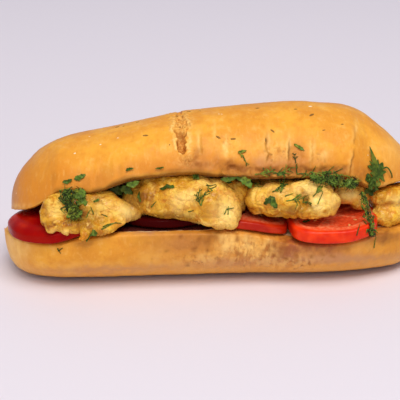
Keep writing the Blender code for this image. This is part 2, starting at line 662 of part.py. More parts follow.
def build():
    for old in list(bpy.data.objects):
        bpy.data.objects.remove(old)
    sandwich = bpy.data.collections.new("shrimp_kofta_sandwich")
    bits = bpy.data.collections.new("bits")
    bpy.context.scene.collection.children.link(sandwich)
    bpy.context.scene.collection.children.link(bits)
    rng = random.Random(7)

    crust = material("crust", (0.83, 0.42, 0.11), 0.5)
    red = material("tomato", (0.70, 0.05, 0.02), 0.25)
    green = material("herbs", (0.10, 0.19, 0.03), 0.6)
    batter = material("battered shrimp", (0.86, 0.55, 0.16), 0.45)

    top_dense = ((CRACK_X, 6, 3.0), (36, 4, 1.5), (68.6, 4, 1.5))
    top_places = station_places(56, TOP_HALF_LENGTH, TOP_SHIFT, top_dense)
    top = bun_half("bun_top", sandwich, crust, top_point, top_places, 30, 0.72)
    base_places = station_places(40, ROLL_HALF_LENGTH, ROLL_SHIFT, ((18, 10, 1.0), (-15, 4, 0.8)))
    base = bun_half("bun_bottom", sandwich, crust, base_point, base_places, 28, 0.34)

    slices = [tomato_slice(name, sandwich, red) for name in TOMATOES]
    laid = []
    for name in SHRIMPS:
        laid.append(shrimp(name, sandwich, batter, [base, top, *slices, *laid]))

    for obj in laid:
        if obj.name in SHRIMP_HERBS:
            strew_herbs(obj, SHRIMP_HERBS[obj.name], bits)
            fuse(obj, bits)
    strew_herbs(top, BUN_HERBS["bun_top"], bits)
    strew_seeds(top, bits, rng)
    fuse(top, bits)
    strew_herbs(base, BUN_HERBS["bun_bottom"], bits)
    fuse(base, bits)

    near = [top, base, *slices, *laid]
    for name in BUNCHES:
        near.append(herb_bunch(name, sandwich, green, bits, near, rng))
    parsley_leaf(sandwich, green, bits, near)

    for obj in sandwich.objects:
        obj.location = (-MIDDLE[0] * MM, -MIDDLE[1] * MM, 0.0)


build()
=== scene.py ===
"""Shrimp kofta sandwich: the looks of the bread, tomato, battered shrimps and herbs.

The forms are worked out in millimetres and become metres where a mesh is made. X runs along the
roll, the cut side faces -Y, and Z is up."""

import math
import random

import bmesh
import bpy
import numpy as np
from bpy.props import FloatProperty, FloatVectorProperty, IntProperty, PointerProperty
from mathutils import Matrix, Vector, noise
from mathutils.bvhtree import BVHTree


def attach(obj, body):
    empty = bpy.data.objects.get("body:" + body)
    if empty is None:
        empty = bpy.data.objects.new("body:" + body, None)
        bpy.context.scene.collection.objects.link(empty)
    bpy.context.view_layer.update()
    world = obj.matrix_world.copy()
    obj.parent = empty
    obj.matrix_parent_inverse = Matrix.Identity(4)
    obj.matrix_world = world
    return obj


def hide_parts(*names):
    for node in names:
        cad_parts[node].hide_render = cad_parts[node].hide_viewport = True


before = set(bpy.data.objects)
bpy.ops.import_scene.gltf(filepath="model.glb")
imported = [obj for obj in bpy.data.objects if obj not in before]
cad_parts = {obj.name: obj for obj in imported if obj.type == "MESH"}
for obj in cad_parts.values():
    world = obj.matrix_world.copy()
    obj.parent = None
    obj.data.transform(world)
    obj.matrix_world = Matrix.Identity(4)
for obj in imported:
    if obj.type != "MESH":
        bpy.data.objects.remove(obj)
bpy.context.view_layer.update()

bl_info = {
    "name": "Shrimp kofta sandwich",
    "version": (1, 0, 0),
    "blender": (4, 5, 0),
    "location": "View3D > Sidebar > Sandwich",
    "description": "Builds a long roll filled with tomato, battered shrimps, dill and parsley",
    "category": "Add Mesh",
}

MM = 0.001
# x and y of the frame's origin in the design.
MIDDLE = (2.0, -2.9)
BODY = "root"

# The roll, as in the solids.
ROLL_HALF_LENGTH = 107.5
TOP_HALF_LENGTH = 103.4
TOP_SHIFT = 2.0
ROLL_SHIFT = 2.0
ROLL_HALF_DEPTH = 43.0
TOP_HALF_DEPTH = 42.3
TOP_TILT = math.radians(20.0)
TOP_CENTRE = (1.0, 45.2)
BACK_NIP = 1.6
TOP_LIP = 3.0
BASE_LIP = 4.0
BASE_DEPTH_SHARE = 1.08
CRUST_POWER = 2.3
CUT_POWER = 5.0
PLAN_POWER = 6.0
TOP_PLAN_POWER = 5.0
RIDGE_POWER = 9.5
BASE_END_POWER = 22.0
# Broad unevenness, as in the solids: strength, size and seed.
TOP_SWELL = (0.9, 26.0, 3.1)
BASE_SWELL = (0.7, 24.0, 8.7)
TOP_SWELL_SHARE = 1.0 / 38.0
# Where the roll's half depth is less than this, its relief fades.
FULL_RELIEF_DEPTH = 20.0
# A dent in the lip: x, half width, depth, and the rise above the lip where it ends.
LIP_DENT = (7.5, 4.5, 1.8, 6.5)
RIDGE = (
    (-106, 57), (-94, 58.8), (-86, 62.2), (-70, 65.6), (-40, 71.0), (-4, 77.0), (26, 79.4), (46, 80.6),
    (65, 79.4), (78, 76.6), (88, 70.0), (95, 65.6), (106, 61),
)
TOP_SAG = (
    (-98, -15.2), (-90, -14.2), (-84, -11.4), (-79, -7.8), (-75, -5.2), (-61, -6.2), (-54, -4.8), (-48, -2.2),
    (-41, 0.2), (-34, 1.2), (-12, 2.6), (14, -0.4), (60, -1.6), (68, -2), (77, -7), (91, -4.5), (104, -3),
)
FRONT_LIP_HEIGHT = (
    (-106, 25), (-80, 26.6), (-64, 30), (-45, 32.4), (10, 31.6), (25, 29), (38, 25.2), (52, 24.2), (66, 24.6),
    (80, 27.2), (106, 28),
)
BACK_LIP_HEIGHT = ((-106, 20), (-80, 21.5), (-60, 23), (-40, 24.8), (85, 24.6), (106, 26))
# Height of the underside, which is flat but for the left end.
UNDERSIDE = ((-107, 4.6), (-96, 3.2), (-82, 2.3), (-64, 1.3), (-48, 0.4), (-38, 0), (110, 0))

# Creases in the upper front crust: stops (rise above the lip, x), low and high end, depth, how far
# the crust to the right of it stays low, and how much the crust to the left swells.
CREASES = (
    (((8, -6.6), (14, -6.4), (20, -6.1)), 7, 20, 0.45, 2.6, 0.3),
    (((4, 24.0), (9, 25.4), (13, 24.6), (21, 25.6)), 6, 21, 1.0, 2.4, 0.5),
    (((-2, 35.0), (8, 35.3), (17, 36.0)), -2, 17, 1.3, 4.2, 0.5),
    (((-2, 46.9), (9, 46.6), (17, 47.4)), 5, 17, 0.35, 2.0, 0.25),
    (((-2, 50.3), (9, 50.8)), -2, 8, 0.6, 2.2, 0.3),
    (((-2, 65.2), (6, 66.1), (12, 67.9)), -2, 12, 1.2, 3.6, 0.5),
    (((12, 67.4), (18, 68.6), (24, 69.6)), 14, 24, 0.45, 2.4, 0.3),
)
# The torn place: stops (rise, x) of its left and right edges.
TEAR_LEFT = (
    (0, -11.6), (5, -13.7), (7.3, -15.6), (9, -17.0), (11, -17.9), (14.6, -18.5), (19, -18.9), (23, -18.2),
    (28, -17.0),
)
TEAR_RIGHT = (
    (0, -11.2), (5, -13.1), (7.3, -14.6), (8.8, -13.5), (11, -13.5), (14, -13.5), (17, -12.9), (20, -12.4),
    (24, -13.0), (28, -14.0),
)
TEAR_DEPTH = 4.6
# The torn band along the lip and the folds at its left: x of both ends, and how high they reach.
TORN_BAND = (1.0, 66.0, 4.6)
FOLDS = (-84.0, -36.0, 13.0)
# Where the crust peels: x, half width, rise above the lip, half height, strength.
PEELING = ((29.5, 6.5, 10.5, 5.5, 1.0), (6.0, 5.0, 13.0, 5.0, 0.5), (50.0, 5.0, 7.5, 3.5, 0.7))

# Meshes of the bread: parts of a ring as (start, end, points), and where the rings lie closer, as
# (x, half width, how much closer).
TOP_ANGLES = ((0.0, 0.5, 46), (0.5, 1.7, 96), (1.7, math.pi, 48), (math.pi, math.tau, 42))
BASE_ANGLES = ((0.0, math.pi, 70), (math.pi, 1.5 * math.pi, 44), (1.5 * math.pi, math.tau, 110))
TOP_DENSE = ((-15.4, 5, 3.0), (36, 30, 0.5), (8, 6, 0.5))
BASE_DENSE = ((15, 12, 1.2), (-15, 10, 0.4), (36, 8, 0.5))
FEWER_BASE_RINGS = 60

# Stops (x, value): how much painted shade darkens the underside of the lip's edge, how far behind the
# crust the cut crumb begins, and how far behind it the crumb gets juice and painted shadow.
LIP_SHADE = (
    (-104, 0.1), (-84, 0.35), (-70, 0.8), (-40, 0.9), (-20, 0.75), (0, 0.9), (70, 0.8), (84, 0.35), (96, 0.2),
)
CUT_INSET = (
    (-108, 0.6), (-92, 0.8), (-84, 4.0), (-50, 4.0), (-44, 3.0), (-22, 3.0), (-10, 3.2), (-3, 4.5), (4, 8.0),
    (108, 8.0),
)
JUICE_AND_SHADOW_INSET = ((-108, 9.0), (-60, 6.0), (-52, 3.6), (-46, 3.3), (-6, 3.4), (2, 6.5), (108, 9.0))

# Painted places and herbs are given as they look from the front: x and z where the line from the
# eye to the place crosses a plane just before the sandwich.
EYE = Vector((-42.0, -539.0, 229.0))
PLANE_Y = -44.0

# Painted places on the bread: x, z, radius along, radius up, strength.
TOP_BROWN = (
    (-9.5, 65.6, 5.0, 2.0, 0.5), (0.6, 68.6, 1.4, 4.0, 0.4), (-8.6, 71.4, 2.0, 3.4, 0.55),
    (-13.5, 68.4, 3, 2.2, 0.3), (39.8, 69.8, 2.4, 4, 0.35), (25.6, 63.2, 3.4, 1.8, 0.6),
    (11.3, 64, 3, 2, 0.5), (40, 63.8, 6, 1.6, 0.25), (-14.6, 62.6, 6.0, 1.0, 0.5), (5, 68.4, 2.6, 1.4, 0.4),
    (7.0, 65.4, 4.4, 2.4, 0.8), (-4, 64.9, 9, 2.2, 0.45), (28, 63.6, 9, 2.8, 0.75), (41, 63.4, 6, 2.6, 0.5),
    (52, 62.2, 9, 2.0, 0.55), (-10.2, 69.4, 1.8, 4.2, 0.4), (17, 62.9, 6, 1.6, 0.35),
    (-23, 63.6, 10, 1.4, 0.35), (70.5, 59.6, 5, 4, 0.6), (35.8, 67, 1.2, 5, 0.3), (66.4, 61, 1.2, 5, 0.3),
)
# Darker crust, in part painted shade beside the creases and near the lip.
TOP_DEEP_AND_SHADE = (
    (-57, 58, 7, 7, 0.4), (39, 71, 4.4, 9, 1.0), (69, 65, 5, 9, 0.55), (-4, 70, 8, 5, 0.45),
    (28, 70, 8, 5, 0.4), (52, 67, 7, 4, 0.4), (-70, 62, 5, 6, 0.3), (-30, 66, 14, 3, 0.35),
    (-92, 58, 9, 14, 0.9), (88, 62, 6, 7, 0.3), (-78, 66, 12, 9, 0.4),
)
# Pale crust and painted highlights: the thin pale lines beside the creases and the glare near the right end.
TOP_PALE_AND_HIGHLIGHT = (
    (-1.2, 84.3, 0.8, 3.6, 0.7), (4.6, 74.6, 1.1, 4.2, 0.85), (24.0, 79, 0.9, 6, 0.6),
    (30.5, 73, 3.6, 4.6, 0.12), (45.6, 73, 0.8, 3.2, 0.75), (65.6, 83, 0.7, 3.6, 0.6),
    (51, 69.2, 3.2, 2.4, 0.5), (-8.3, 78, 0.9, 4.4, 0.55), (78.5, 71.8, 4, 1.8, 0.35),
    (-95, 47.6, 7, 1.2, 0.6), (34.2, 75, 0.7, 5, 0.7), (64.6, 62, 0.8, 4, 0.5), (-19, 79, 0.7, 5, 0.5),
    (-12.2, 77, 0.7, 4.5, 0.55),
)
# Pale crust, with bands of painted reflection from the pale floor low on the front.
BASE_PALE_AND_REFLECTED = (
    (-95.5, 27.5, 6.5, 10, 1.0), (-86, 31.4, 6, 0.9, 0.7), (-38, 33.9, 10, 0.8, 1.2),
    (-18, 34.4, 12, 0.6, 0.8), (5.1, 26.2, 3.6, 7.0, 1.4), (15.1, 24.4, 3.4, 4.4, 1.3),
    (25.6, 26.1, 2.2, 1.6, 0.9), (22, 19, 3.4, 2.4, 0.6), (33, 17, 4, 2, 0.1), (1, 30.6, 3.2, 2.0, 0.8),
    (70, 24, 5, 4, 0.3), (-30, 20, 9, 4, 0.3), (-66, 16, 16, 2.4, 0.3), (0, 15.4, 30, 1.6, 0.3),
    (60, 15.4, 26, 2.0, 0.3), (-6.5, 19.7, 3, 2, 0.6), (-2, 17.6, 4, 1.4, 0.5),
)
# Brown spots, and painted shadows under the shrimps just below the lip.
BASE_BROWN_AND_SHADOW = (
    (-31, 28.6, 11, 5, 0.32), (-6.5, 27.2, 6, 4.4, 0.5), (-16, 26, 7, 5, 0.25), (82, 27.4, 7, 4.0, 1.1),
    (-1.4, 29.6, 3.6, 3.2, 0.6), (-7.3, 28.3, 1.6, 1.4, 0.5), (-16.9, 30.0, 1.0, 0.9, 0.5),
    (-10.7, 23.6, 1.1, 1.1, 0.5), (-15.4, 31.0, 9, 1.8, 0.3), (-64, 27.8, 4.4, 1.2, 0.5),
    (10.3, 28.3, 1.0, 2.6, 0.7), (16.0, 28.6, 2.6, 1.6, 0.3), (25.6, 21.6, 1.1, 2.3, 0.55),
    (32.3, 22, 2.4, 3.4, 0.45), (1.3, 17.3, 1.1, 1.6, 0.5), (-13.5, 15.1, 1.1, 0.9, 0.55),
    (38.9, 15.9, 1.4, 0.9, 0.5), (30.6, 17.4, 0.8, 2.0, 0.45), (33.2, 17.6, 0.8, 1.8, 0.4),
    (44, 23, 0.9, 1.8, 0.4), (28.4, 18.4, 1.0, 1.4, 0.7), (34.4, 16.4, 1.2, 1.0, 0.8),
    (39.4, 18.6, 1.0, 1.4, 0.7), (47, 17.8, 1.3, 0.9, 0.7), (52, 18.8, 0.9, 1.0, 0.6),
    (57, 17.4, 1.0, 0.8, 0.6), (22, 17, 0.9, 1.0, 0.5), (28.6, 24.4, 1.1, 1.6, 0.7),
    (33.6, 25.4, 0.9, 1.6, 0.7), (40, 25.6, 1.1, 1.2, 0.6), (10.4, 20.6, 0.9, 1.8, 0.5),
    (-4.2, 22.8, 0.8, 1.0, 0.5), (57.5, 25.5, 1.6, 1.2, 0.4), (-24, 23, 1.0, 0.7, 0.35),
    (29, 30.4, 7, 1.2, 0.35), (64, 21, 1.2, 1.4, 0.3),
)
# Tomato juice stains, and the painted shadow of the right tomato slice on the crust below it.
BASE_STAIN_AND_SHADOW = (
    (36, 22.4, 8.5, 4.8, 1.2), (25.4, 22.8, 4, 3.4, 0.5), (35.4, 19.6, 4, 3, 0.4), (54, 22.8, 9, 4.4, 1.0),
    (33, 19.4, 5, 2.4, 0.5), (48, 27.2, 18, 2.4, 0.95), (28, 30.4, 6, 1.6, 0.4), (58, 24.5, 6, 2.0, 0.35),
    (18, 30.0, 8, 1.0, 0.3),
)
# Dull pinkish places, with a painted reflection of the pale floor low on the lower half.
BASE_DUSKY_AND_REFLECTED = (
    (50, 21, 22, 7, 0.25), (-34, 33.2, 9, 1.8, 0.8), (20, 16.0, 36, 2.8, 0.7), (-50, 13.8, 36, 1.8, 0.55),
    (70, 16, 26, 2.2, 0.5), (-16, 26, 14, 5, 0.35), (76, 27, 7, 3, 0.4),
)
# Dull pinkish places on the upper half; at its left end they are painted haze.
TOP_DUSKY_AND_REFLECTED = (
    (-98.6, 60, 5, 16, 0.9), (-92, 74, 10, 4, 0.4), (21, 67, 3, 4, 0.3), (-8, 66, 10, 3, 0.3),
    (30, 66, 14, 3, 0.4),
)
BASE_PITTED = (
    (-15, 24, 12, 6, 0.7), (-4, 17, 8, 4, 0.9), (10, 16, 10, 3, 1.0), (34, 18, 10, 5, 1.0),
    (54, 21, 8, 4, 0.9), (44, 14, 10, 3, 0.9), (22, 24, 6, 5, 0.8), (80, 20, 8, 4, 0.4), (-28, 20, 6, 4, 0.3),
)
BASE_SCALY = (
    (7, 25, 7.5, 7.5, 1.0), (16, 21, 7, 7, 1.0), (26, 22, 5, 6, 0.8), (36, 15, 12, 4, 0.8),
    (-8, 17, 9, 4, 0.6),
)

# Tomato slices: x and y of the middle, half length, half depth, thickness, dome, how square the
# slice is, and how much painted shade darkens it. The one at the left is an end slice with its skin upwards.
TOMATOES = {
    "tomato_left": (-74.8, -17.0, 27.5, 25.5, 6.6, 2.7, 2.0, 1.0),
    "tomato_inner": (-22.6, -16.0, 23.5, 24.0, 5.5, 0.0, 2.3, 1.0),
    "tomato_middle": (19.8, -19.0, 17.2, 22.0, 5.5, 0.0, 4.0, 0.42),
    "tomato_right": (58.5, -23.5, 22.5, 24.0, 8.0, 0.0, 3.3, 0.0),
}
END_SLICE = "tomato_left"
# Angles from straight up: where a slice's flat top ends, where its side begins and ends, and where
# its underside begins.
SLICE_TOP, SLICE_SIDE, SLICE_UNDER = 0.75, (0.77, 2.3), 2.35
TURNS_A_SLICE = 180
# Half length, half width and half height of a tomato seed.
TOMATO_SEED = (1.1, 0.7, 0.4)
TOMATO_SEED_COLOURS = ((0.84, 0.42, 0.12), (0.7, 0.2, 0.05))

# Shrimps: chains of balls (x, y, z, radius), each chain swept from ball to ball.
SHRIMPS = {
    "shrimp_1": (
        ((-75, -33, 41.4, 8.4), (-66, -32, 41, 10.2), (-57, -32, 41, 9.8), (-49, -33, 40.5, 7.6),
         (-42, -34, 39.6, 5.0), (-38, -34, 39, 2.6)),
        ((-76, -22, 37, 7.5), (-67, -18, 38, 8.6), (-57, -20, 37.5, 7.4)),
        ((-78.6, -36, 44.8, 4.0), (-81, -37.5, 41.6, 3.5), (-80.4, -39, 38.2, 3.5), (-76, -41, 37, 3.6),
         (-70, -42, 36.6, 3.6), (-64, -42, 36.4, 3.8)),
        ((-80, -40.5, 37.8, 2.8), (-78.6, -42.6, 35.4, 2.5)),
        ((-72.6, -42.6, 36.8, 3.0), (-72.0, -44.2, 34.8, 2.4)),
        ((-61, -42, 37, 3.8), (-62.4, -46, 33.2, 2.5), (-64, -47.4, 31.6, 1.6)),
        ((-60, -44, 35, 3), (-55.4, -44.4, 34.2, 2.4), (-50, -42.4, 35.6, 2.4), (-45, -39.6, 37, 2.2)),
        ((-60, -40.4, 38, 4), (-54, -39.6, 38.4, 3.8), (-48, -38, 38.8, 3.2)),
    ),
    "shrimp_2": (
        ((-36, -27, 44, 8.6), (-29, -30, 45.4, 10), (-20, -32, 45.8, 11), (-10, -33, 45.2, 11.8),
         (-1, -34, 43.6, 11.4), (4, -35.5, 41.6, 9.2)),
        ((6.5, -38, 46, 4.6), (8, -40, 41, 4.4), (7, -42, 36.4, 4.2), (1.5, -42, 36.6, 4),
         (-6, -40, 38.2, 3.8)),
        ((3, -27, 46.4, 7), (9, -27.5, 46.8, 6.4), (12.6, -28.5, 46.4, 5.2), (12, -30, 41, 4.4)),
        ((-38, -24, 39, 5.5), (-34, -16, 42, 8), (-20, -15, 43, 9), (-4, -17, 42, 9.5)),
    ),
    "shrimp_3": (
        ((22, -33, 44, 7.2), (28, -33, 44.2, 8.8), (36, -33.4, 44, 9.4), (41, -33, 44, 7.4),
         (47, -33, 44, 6.6), (52, -34, 44, 6.4)),
        ((38, -36.6, 49, 4.2), (44.5, -37.6, 50.6, 4.4), (51.6, -38.4, 49.2, 4.6), (57.0, -39.4, 45, 4.5),
         (55.4, -40, 40.6, 4), (49.5, -40.4, 39.4, 3.6), (43, -39, 39.6, 3.6)),
        ((47, -39.5, 46, 3.0), (49.2, -41, 44.2, 3.4), (48.4, -41, 42, 3.0)),
        ((24, -17, 43, 8), (38, -15, 43, 9), (52, -18, 42, 9)),
    ),
    "shrimp_4": (
        ((83, -27, 41.2, 4.6), (89, -25, 40.8, 6), (95, -19, 40, 6), (97, -11, 38, 5.5)),
        ((83.4, -29, 33, 4.6), (88, -29, 32, 5.4), (94, -23, 32.4, 5.6), (96, -14, 33.5, 5.6)),
        ((88, -20, 37, 6.5), (92, -13, 37, 6.8)),
    ),
    "shrimp_back": (
        ((64.6, -26, 43.4, 4.6), (70, -26, 43, 5.2), (75.6, -21, 41, 5)),
        ((71.6, -27.4, 39, 3.4), (75, -26, 38, 3)),
        ((68, -12, 39, 5.4), (76, -10, 38, 5.2)),
    ),
}
BALL_STEP = 1.5
RIPPLE_LENGTH = 7.5
SMOOTHINGS = 3
# The spots are painted on the batter before this y.
SHRIMP_FRONT_Y = -12.0

# Spots on the batter: x, z, radius along, radius up, strength.
# Browned batter, with painted shade along the lower edges and at the second shrimp's left end.
FRIED_AND_SHADED_SPOTS = (
    (-66.5, 37.6, 5, 3, 0.6), (-82, 43.6, 3, 5, 0.4), (-31, 52, 6, 4, 0.6), (-60.5, 43, 5, 3, 0.3),
    (-79, 33.6, 3, 1.4, 0.3), (-82.7, 45.9, 1.8, 2.4, 0.8), (-73, 38.6, 9, 1.7, 0.9),
    (-51.7, 50, 3.5, 1.6, 0.5), (-48.8, 41, 3, 1.6, 0.5), (-60, 37.3, 3.5, 2.2, 0.7),
    (-57, 33.5, 6, 2.2, 0.7), (-35, 47.0, 6, 8.6, 1.0), (-28.3, 57.5, 3, 1.8, 0.8),
    (-16, 54.5, 4.5, 1.3, 0.7), (-1.6, 49.8, 3.2, 2.2, 0.8), (-8, 45, 4, 3, 0.4), (10.4, 49, 3.6, 7, 0.35),
    (-80, 37.4, 3, 1.8, 0.9), (18, 42, 5, 3, 0.75), (39, 39.6, 11, 1.6, 0.7), (41.5, 50.6, 1.8, 2.4, 0.9),
    (62, 45, 4, 3, 0.4), (15, 48, 2, 7, 0.6), (53, 41.5, 2, 1.6, 0.5), (80, 51, 5, 2, 0.5),
    (84, 44.5, 6, 1.4, 0.7), (78.5, 38, 1.6, 5, 0.5), (-66, 43, 2.4, 4, 0.6), (-55, 41, 2, 4, 0.4),
    (-23, 41, 6, 1.4, 0.6), (28, 46, 1.6, 5, 0.4), (35.6, 43, 7, 2, 0.6), (-68, 48, 6, 5, 0.4),
    (-24, 50, 1.6, 5, 0.4), (-6, 53, 1.4, 4, 0.4), (55.2, 50.4, 0.8, 3.4, 0.5), (58.0, 47.4, 0.8, 3, 0.25),
    (52.6, 41.6, 2.4, 1.0, 0.5), (57, 41.6, 1.4, 2.4, 0.5), (0.5, 42, 1.4, 5, 0.35),
)
# Painted shade on the batter: under the upper half's lip, along the lower edges and on the shrimp at the
# back.
SHADE_SPOTS = (
    (-38.5, 50, 4, 8, 0.6), (-60.3, 41.6, 5, 4.6, 0.5), (-56.4, 50.0, 5, 2.4, 0.35),
    (-81.4, 45.6, 2.6, 4, 0.35), (-66, 37, 5, 2.6, 0.4), (-31.6, 51.4, 3.6, 3.6, 0.45),
    (-79.6, 37.6, 3, 2, 0.35), (39, 41.5, 8, 2, 0.3), (-30, 40.5, 8, 2.2, 0.6), (-16.6, 39.8, 8, 2.2, 0.65),
    (37, 43.4, 8, 2.6, 0.4), (66, 43, 6, 2, 0.35), (-70, 50, 5, 3, 0.3), (12.6, 42, 2, 5, 0.5),
    (43.6, 47.4, 1.3, 2.2, 0.7), (-64, 45, 2, 5, 0.3),
)
# Pale meat and thin batter, with painted light on the third shrimp's top and on the shaded shrimp at the
# back.
PALE_AND_LIT_SPOTS = (
    (-42, 43.4, 5.5, 5, 1.0), (-53.5, 47.0, 6, 5.0, 0.35), (-77.4, 43.5, 3, 4, 0.45),
    (-78.5, 34.4, 2.4, 1.8, 0.6), (-72, 33.6, 2.6, 1.6, 0.6), (-16.1, 49.2, 5.5, 4.5, 0.7),
    (4.9, 41.7, 6, 8.5, 1.0), (-3, 57, 6, 2.6, 0.5), (-12, 36.2, 10, 1.0, 0.5), (44, 53.8, 9, 3, 0.6),
    (49.5, 45, 3.6, 4.4, 1.1), (56.5, 46.3, 3.4, 7, 0.6), (44, 51, 6, 4, 0.5), (22, 48.5, 6, 4, 0.25),
    (88, 46, 5, 3, 0.6), (82, 40, 4, 4, 0.15), (-19, 43.5, 3, 3, 0.45), (31, 51.5, 4, 3, 0.35),
    (65, 49.6, 4.4, 3.4, 0.8), (24, 55, 4, 2, 0.4), (72, 46, 3, 2.4, 0.4), (-12, 52, 3, 4, 0.4),
    (49.5, 45, 2.2, 3, 0.6),
)

# Bits of parsley leaf: x, z, heading in degrees, length, width, darkness, which is partly painted shade.
LEAVES = (
    (-26.5, 64.8, 8, 4.6, 0.9, 0.5), (-70, 59.1, 12, 5, 2, 0.4), (-64.4, 60.9, 25, 6, 2.6, 0.0),
    (-60.3, 32.2, 40, 7.5, 2.4, 0.0), (-63.4, 52.6, 20, 5, 3, 0.0), (-64.4, 48.6, 60, 5, 3, 0.1),
    (-66.6, 45.4, 80, 4.4, 2.4, 0.2), (74.2, 54.9, 80, 7, 4, 0.4), (72.3, 57.4, 100, 5, 3, 0.6),
    (77, 53.6, 60, 5, 3, 0.3), (-36.2, 50.5, -60, 5.5, 1.4, 0.6), (-23.1, 55.2, 3, 7.5, 2.4, 0.6),
    (-19.9, 59.8, 5, 3.4, 1.4, 0.2), (-9, 58.8, 35, 4, 2, 0.3), (11, 57.4, -38, 8.5, 3.2, 0.0),
    (3.2, 59.5, 5, 9, 1.6, 0.5), (25.4, 47.6, 35, 6.5, 3.0, 0.7), (27.6, 46.2, -70, 6.0, 3.2, 0.15),
    (43.5, 35.6, 0, 3.6, 1.6, 0.8), (-56.7, 49.3, 30, 3.4, 1.2, 0.2), (-41, 64.6, 15, 4, 1.4, 0.4),
    (11.7, 71.9, 15, 4.2, 1.5, 0.1), (39.2, 73.4, -40, 6.5, 1.5, 0.1), (-43, 55.4, 35, 3.6, 1.6, 0.5),
    (16.5, 57.8, 50, 4.5, 1.5, 0.6), (30.4, 60.7, 8, 5, 1.6, 0.3), (52, 60.6, 10, 5, 1.8, 0.1),
    (31.6, 54.0, 75, 6, 1.3, 0.3), (49.6, 52.6, 50, 4, 1.3, 0.0),
)
# Bits of leaf that lie on nothing, in gaps between shrimps, before the dill clump, at the lip and
# under the large leaf: x, y, z, heading, length, width, darkness, which is partly painted shade.
TUCKED = (
    (-64.0, -46, 53.4, 35, 6.4, 3.6, 0.0), (-62.8, -45.6, 49.8, -55, 5.4, 2.6, 0.15),
    (-69.0, -45.6, 45.0, 62, 7, 2.6, 0.05), (77.3, -30, 47.0, 60, 7, 6, 0.7),
    (14.2, -37.6, 55.4, -38, 10, 4.0, 0.0), (6.0, -38.5, 56.6, 5, 8, 2.4, 0.4),
    (-46.8, -30, 49.2, 10, 9, 4.6, 0.85), (-42.6, -33, 50.4, -30, 7, 3.6, 0.6),
    (-39.5, -38, 55.0, 12, 6.6, 3.0, 0.0),
)
TUCKED_FACING = (0.1, -1.0, 0.35)
TUCKED_STAND = 0.1
# Fronds of dill and single threads: x, z, heading in degrees, length.
FRONDS = (
    (-46.4, 55.6, 40, 6), (-41.8, 54.4, 30, 5), (-6.4, 50.2, 50, 6), (-8, 48.4, 100, 5),
    (-8.4, 50.6, 60, 4.4), (-6.6, 47.6, 80, 4), (17.4, 57, 45, 7), (31.3, 54.5, 70, 7), (29.0, 52.6, 20, 5),
    (37.5, 47.1, 5, 7), (43.2, 46.2, -15, 5), (48.9, 51.4, 45, 7), (30.6, 61.2, 5, 8), (22, 60.9, 8, 8),
    (13.4, 68.4, -60, 4.5), (11.6, 70.6, -45, 4), (37.2, 67.8, 100, 4), (41, 60.8, 10, 6), (38, 62.8, 100, 4),
    (26, 62.2, 160, 5),
)
THREADS = (
    (-50, 37.7, 30, 9), (-51.2, 36.4, 28, 8), (-61.2, 43.2, 70, 4), (-59, 44.6, 105, 4), (-2.8, 55.4, 40, 5),
    (-4, 54.6, 115, 4), (-1.4, 54.2, 30, 4), (5.6, 43.2, 85, 4), (6.9, 43.9, 10, 3.4), (4.4, 42.4, 60, 3),
    (20.3, 54.5, -50, 4), (19.4, 55.4, 30, 3), (50.4, 48.6, 60, 6), (77.2, 24.4, 95, 6), (69.5, 32, 80, 6),
    (72, 35, 100, 5), (-74.6, 24.9, 30, 3), (-75.4, 24.2, -60, 3), (-53.4, 41.6, 160, 3), (46, 62.2, 60, 5),
    (54, 62.4, 40, 5), (-30, 47, 60, 4), (-12, 43, 20, 3), (34.6, 50, 30, 4), (58, 61.6, 20, 5),
    (79, 52.6, 20, 4),
)
# Bunches of herbs: balls of the soft middle as in the solids, the darkness at each ball (painted shade
# in the thick of the bunch), how many sprigs a ball has, their length, and how many stalks run through.
BUNCHES = {
    "dill_clump": (
        ((-63, 51, 2), (-66.5, 52, 2.8), (-70.5, 52, 2.6), (-69, 47, 2.8), (-67, 43.5, 2.4)),
        (0.15, 0.45, 0.95, 0.7, 0.3), 19, 5.6, 0,
    ),
    "herb_tangle": (
        ((46, -40.8, 57.2, 1.4), (53, -41, 57, 1.8), (59, -40.6, 55.6, 1.9), (66, -39, 53.4, 1.7)),
        (0.2, 0.15, 0.3, 0.6), 15, 6.4, 5,
    ),
    "parsley_hanging": (
        ((72, -35.5, 47, 1.4), (73, -38.5, 43, 1.7), (74, -41, 38.5, 1.8), (75.3, -43.8, 33.5, 1.5),
         (76, -45, 29.5, 1.0)),
        (0.4, 0.3, 0.4, 0.2, 0.3), 5, 4.2, 6,
    ),
}
# The large parsley leaf: x and z of its middle, its size, its width and height as shares of that, how
# its tip leans, and how high it lies.
LEAF_PLACE = (76.4, 60.8)
LEAF_SIZE = 8.4
LEAF_WIDTH_SHARE = 0.66
LEAF_HEIGHT_SHARE = 1.2
LEAF_LEAN = -0.4
LEAF_LIFT = 1.1
LEAF_THICKNESS = 0.35
LEAF_POINTS = 96
# Chopped bits of leaf, and threads of dill.
BIT_THICKNESS = 0.28
BIT_POINTS = 30
THREAD_WIDTH = 0.6
# Pointed lobes of the large leaf: heading in degrees, length, how slowly it narrows.
LOBES = (
    (90, 1.12, 30), (58, 0.72, 26), (28, 0.9, 26), (-6, 0.76, 26), (-38, 0.86, 24), (-72, 0.62, 24),
    (126, 0.66, 26), (158, 0.8, 26), (192, 0.72, 24), (226, 0.95, 26), (258, 0.8, 24),
)
# x and z of the leaf's stalk.
STEM_ROUTE = ((77, 61), (80.8, 62.6), (83.2, 58.6), (83.8, 53.6))
